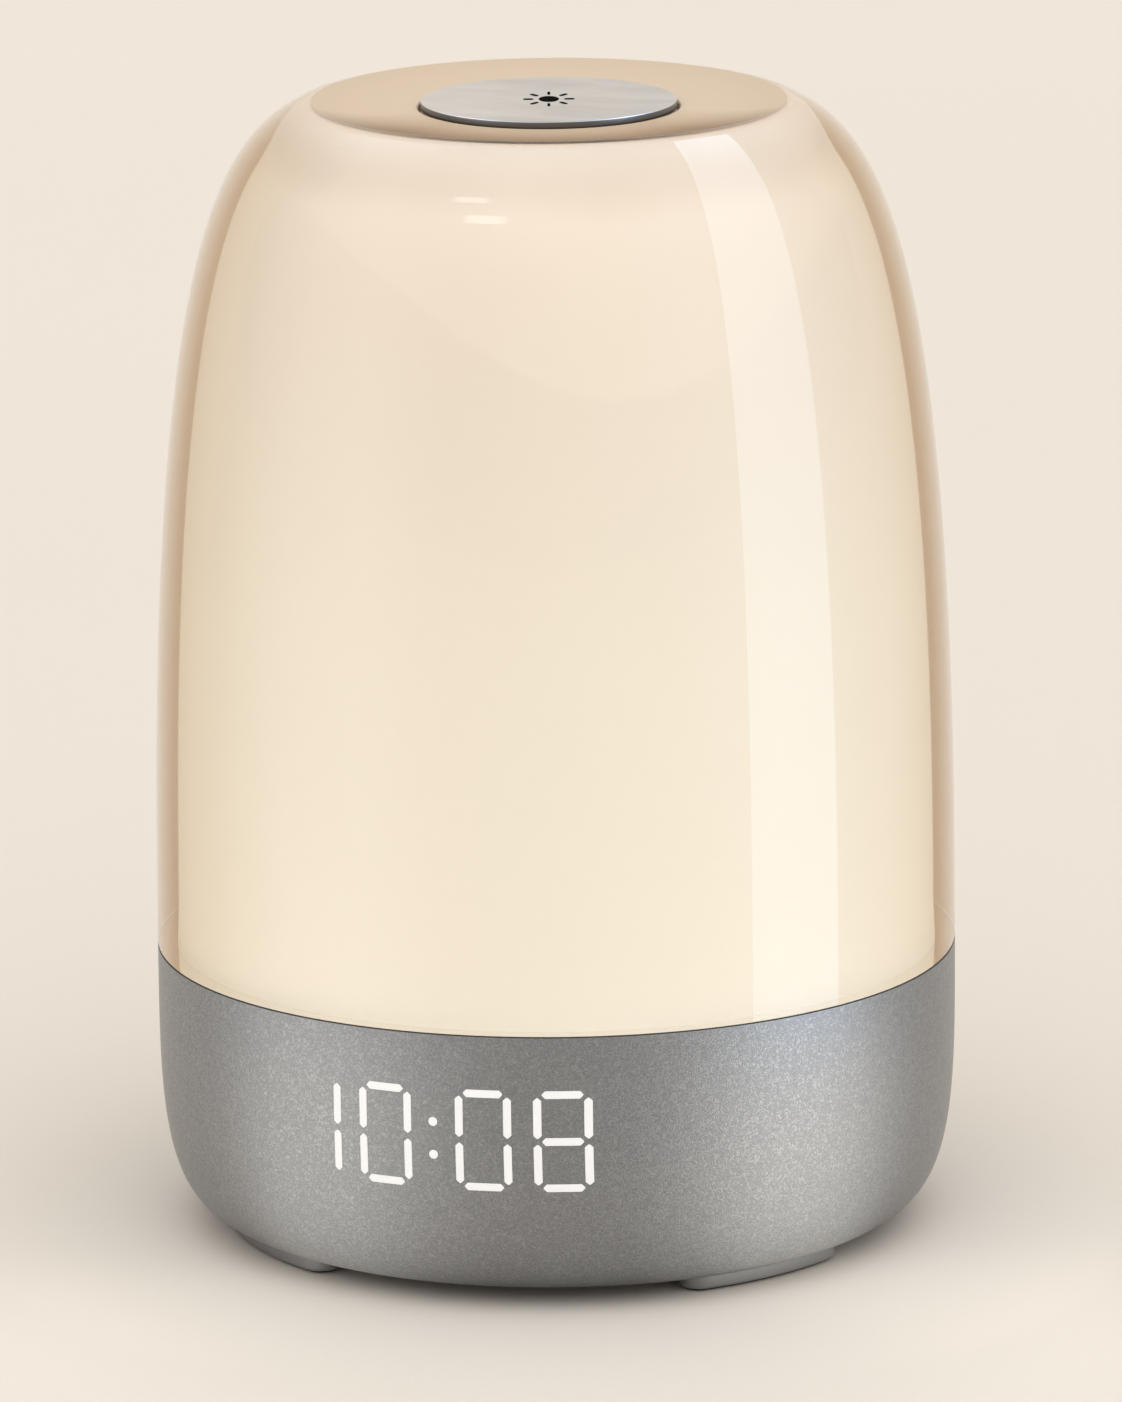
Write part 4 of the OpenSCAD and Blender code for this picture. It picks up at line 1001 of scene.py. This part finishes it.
def reflected_panel(name, edges, finish):
    """A lamp panel, seen only in reflections, spanned between edges of (place, glow)."""
    rows = len(edges[0])
    points = [place * MM for edge in edges for place, glow in edge]
    faces = [(k * rows + i, k * rows + i + 1, (k + 1) * rows + i + 1, (k + 1) * rows + i)
             for k in range(len(edges) - 1) for i in range(rows - 1)]
    mesh = bpy.data.meshes.new(name)
    mesh.from_pydata(points, [], faces)
    levels = mesh.attributes.new(GLOW, "FLOAT", "POINT")
    for index in range(len(points)):
        levels.data[index].value = edges[index // rows][index % rows][1]
    panel = bpy.data.objects.new(name, mesh)
    bpy.context.scene.collection.objects.link(panel)
    mesh.materials.append(finish)
    panel.visible_camera = False
    panel.visible_diffuse = False
    panel.visible_shadow = False
    panel.visible_transmission = False


def dome_edge(angle, glow):
    """Lamp places for the dome's face, from the seam up to the lip."""
    out = turned_direction(math.radians(angle))
    points = dome_curve(0, LIP_R, DOME_STEPS)
    edge = []
    for (low_r, low_z), (r, z) in zip(points, points[1:]):
        run = Vector((r - low_r, z - low_z)).normalized()
        normal = out * run.y - Vector((0, 0, run.x))
        place = out * (low_r + r) / 2 + Vector((0, 0, (low_z + z) / 2))
        edge.append((mirrored(place, normal, DOME_REACH), glow))
    foot = out * body_r + Vector((0, 0, seam_z - 1))
    return [(mirrored(foot, out, DOME_REACH), glow)] + edge


def base_edge(angle, glow):
    """Lamp places for the base's face, dimming from the seam down to the underside."""
    shares = (0.0, 0.1, 0.2, 0.3, 0.4, 0.5, 0.58, 0.66, 0.72, 0.78)
    return [(seen_in_base(angle, math.pi / 2 * share),
             glow * (1 - DIM_SHARE * share ** DIM_POWER)) for share in shares]


def make_reflections():
    """Softbox strips up both sides of the lamp, and two short bars high on its left."""
    right = emitter("right_strip_light", STRIP_RIGHT_LIGHT, COOL_TINT)
    left = emitter("left_strip_light", STRIP_LEFT_LIGHT)
    reflected_panel("right_strip", [dome_edge(*edge) for edge in STRIP_RIGHT], right)
    reflected_panel("left_strip", [dome_edge(*edge) for edge in STRIP_LEFT], left)
    reflected_panel("base_right", [base_edge(*edge) for edge in BASE_RIGHT],
                    emitter("base_right_light", BASE_RIGHT_LIGHT, WARM_TINT))
    reflected_panel("base_left", [base_edge(*edge) for edge in BASE_LEFT],
                    emitter("base_left_light", BASE_LEFT_LIGHT, WARM_TINT))
    bar = emitter("bar_light", BAR_LIGHT)
    for number, (start, end, low_r, high_r) in enumerate(BARS):
        stops = ((start, 0), (start + BAR_FADE, 1), (end - BAR_FADE, 1), (end, 0))
        edges = [[(seen_in_dome(angle, r), glow) for r in (low_r, high_r)]
                 for angle, glow in stops]
        reflected_panel(f"bar_{number}", edges, bar)


# Key light from above the camera's right, in degrees, and the studio around
KEY_ANGLE = 12
KEY_RISE = 62
KEY_SPREAD = 76
KEY_STRENGTH = 1.17
STUDIO_STRENGTH = 0.66


def make_lamps():
    """One wide sun from above, unseen in reflections, and an even white studio."""
    data = bpy.data.lights.new("top_key", "SUN")
    data.energy = KEY_STRENGTH
    data.angle = math.radians(KEY_SPREAD)
    lamp = bpy.data.objects.new("top_key", data)
    bpy.context.scene.collection.objects.link(lamp)
    rise = math.radians(KEY_RISE)
    back = (turned_direction(math.radians(KEY_ANGLE)) * math.cos(rise)
            + Vector((0, 0, math.sin(rise))))
    lamp.matrix_world = back.to_track_quat("Z", "Y").to_matrix().to_4x4()
    lamp.visible_glossy = False
    world = bpy.data.worlds.new("studio")
    world.use_nodes = True
    world.node_tree.nodes["Background"].inputs[0].default_value = shade(1, 1, 1)
    world.node_tree.nodes["Background"].inputs[1].default_value = STUDIO_STRENGTH
    bpy.context.scene.world = world


# Sweep: half its width, its length, how far it reaches in front, how far behind the lamp it
# stays flat, and the radius of its curve
SWEEP_HALF_W = 4500
SWEEP_L = 7500
SWEEP_FRONT = 2500
SWEEP_FLAT = 1200
SWEEP_BEND = 1500.0


def make_floor():
    """Pale seamless sweep: floor, curve and backdrop."""
    made = Finish("warm_paper_sweep")
    fibre = made.noise(1.2, 3.0)
    cloud = made.noise(260, 2.0)
    colour = made.mix((fibre * 0.5 + cloud * 0.5).clamped(),
                      shade(0.835, 0.77, 0.69), shade(0.88, 0.81, 0.725))
    surface = made.principled(Base_Color=colour, Roughness=0.85,
                              Normal=made.bump(fibre, 0.03, 0.3))
    deselect()
    bpy.ops.mesh.primitive_grid_add(x_subdivisions=2, y_subdivisions=48, size=2)
    floor = bpy.context.object
    for vertex in floor.data.vertices:
        along = (vertex.co.y + 1) / 2 * SWEEP_L - SWEEP_FRONT
        y, z = along, 0.0
        past = along - SWEEP_FLAT
        if past > 0:
            turn = min(past / SWEEP_BEND, math.pi / 2)
            y = SWEEP_FLAT + SWEEP_BEND * math.sin(turn)
            z = (SWEEP_BEND * (1 - math.cos(turn))
                 + max(past - SWEEP_BEND * math.pi / 2, 0))
        vertex.co = (vertex.co.x * SWEEP_HALF_W * MM, y * MM, z * MM)
    floor.data.transform(Matrix.Rotation(CAMERA_TURN, 4, "Z"))
    settle(floor, "sweep", made.finish(surface))
    smooth(floor, 60)


def dress_nodes(finishes):
    """Gives each CAD node that stays in view or inside the finish of its slot."""
    for part in frame["record"]["subparts"]:
        node = nodes[part["node"]]
        made = finishes.get(part["material_slot"])
        if made is not None:
            node.data.materials.clear()
            node.data.materials.append(made)


def make_finishes():
    return {
        "tinted_clear": clear_wall_finish(),
        "sign_black": ink_finish(),
        "opal": opal_finish(),
        "seat_mirror": seat_finish(),
        "frosted_dish": dish_finish(),
        "grained_grey": grained_finish(),
        "brushed_steel": brushed_disc_finish(),
        # Painted shade: the touch disc's side wall, steel painted dark.
        "rim_steel": plain_finish("disc_side_painted_shade", (0.14, 0.14, 0.145), (0.2, 0.2, 0.205),
                                  0.35, 1.0),
        "joint_line": plain_finish("joint_line", (0.02, 0.02, 0.02), (0.03, 0.03, 0.03), 0.7),
        "brushed_grey": plain_finish("brushed_grey_paint", (0.17, 0.17, 0.173),
                                     (0.26, 0.26, 0.264), 0.45, 0.6, 0.15, 0.01,
                                     stretch=(1, 1, 6)),
        "grey_plastic": plain_finish("moulded_grey", (0.10, 0.10, 0.10), (0.15, 0.15, 0.15),
                                     0.6, 0, 0.4, 0.03),
        "black_rubber": plain_finish("black_rubber", (0.02, 0.02, 0.02), (0.04, 0.04, 0.04),
                                     0.8),
        "screw_steel": plain_finish("zinc_plate", (0.42, 0.42, 0.44), (0.6, 0.6, 0.62), 0.35,
                                    1.0),
        "cell_steel": plain_finish("cell_nickel", (0.5, 0.5, 0.5), (0.62, 0.62, 0.62), 0.3,
                                   1.0),
        "contact_brass": plain_finish("sprung_brass", (0.6, 0.44, 0.16), (0.72, 0.55, 0.24),
                                      0.35, 1.0),
        "black_plastic": plain_finish("moulded_black", (0.015, 0.015, 0.016),
                                      (0.03, 0.03, 0.03), 0.55),
        "dark_plastic": plain_finish("moulded_charcoal", (0.03, 0.03, 0.032),
                                     (0.055, 0.055, 0.057), 0.6, 0, 0.35, 0.03),
        "key_plastic": plain_finish("key_satin_grey", (0.15, 0.15, 0.155), (0.2, 0.2, 0.205),
                                    0.45, 0, 0.3, 0.01),
        "cone_paper": plain_finish("pulp_cone", (0.02, 0.02, 0.02), (0.04, 0.04, 0.04), 0.9, 0,
                                   0.4, 0.05),
        "magnet": plain_finish("plated_magnet", (0.3, 0.3, 0.3), (0.4, 0.4, 0.4), 0.4, 1.0),
        "black_wire": plain_finish("black_lead", (0.02, 0.02, 0.02), (0.035, 0.035, 0.035),
                                   0.5),
        "red_wire": plain_finish("red_lead", (0.4, 0.02, 0.015), (0.5, 0.035, 0.025), 0.5),
        "board_green": plain_finish("green_board", (0.012, 0.09, 0.03), (0.02, 0.13, 0.05),
                                    0.35, 0, 0.8, 0.01, 0.5),
        "board_white": plain_finish("white_board", (0.75, 0.75, 0.73), (0.82, 0.82, 0.8), 0.4),
        "chip_black": plain_finish("chip_black", (0.012, 0.012, 0.013), (0.02, 0.02, 0.02),
                                   0.5),
        "film": plain_finish("frosted_film", (0.7, 0.7, 0.72), (0.78, 0.78, 0.8), 0.6),
        "ribbon": plain_finish("flat_cable", (0.6, 0.6, 0.56), (0.7, 0.7, 0.66), 0.4, 0, 0.6,
                               0.02, stretch=(4, 1, 1)),
        "led_yellow": plain_finish("led_phosphor", (0.8, 0.6, 0.15), (0.9, 0.7, 0.22), 0.3),
        "lit_white": plain_finish("lit_white", (0.74, 0.74, 0.74), (0.9, 0.9, 0.9), 0.6,
                                  strength=0.2),
        "white_plastic": plain_finish("moulded_white", (0.74, 0.72, 0.69), (0.8, 0.78, 0.75),
                                      0.45),
        "spring_steel": plain_finish("spring_wire", (0.4, 0.4, 0.42), (0.55, 0.55, 0.57), 0.3,
                                     1.0),
        "inlet_steel": plain_finish("inlet_steel", (0.5, 0.5, 0.51), (0.6, 0.6, 0.61), 0.3,
                                    1.0),
    }


make_camera()
finishes = make_finishes()
dress_nodes(finishes)
make_dome(finishes["tinted_clear"], finishes["seat_mirror"], finishes["frosted_dish"])
make_diffuser(finishes["opal"])
make_base(finishes["grained_grey"], finishes["joint_line"])
make_disc(finishes["brushed_steel"], finishes["rim_steel"])
make_spring(finishes["spring_steel"])
make_feet(finishes["brushed_grey"], finishes["black_rubber"])
make_display(finishes["lit_white"])
make_sun(finishes["sign_black"])
make_reflections()
make_lamps()
make_floor()
bpy.context.scene.view_settings.view_transform = "Standard"
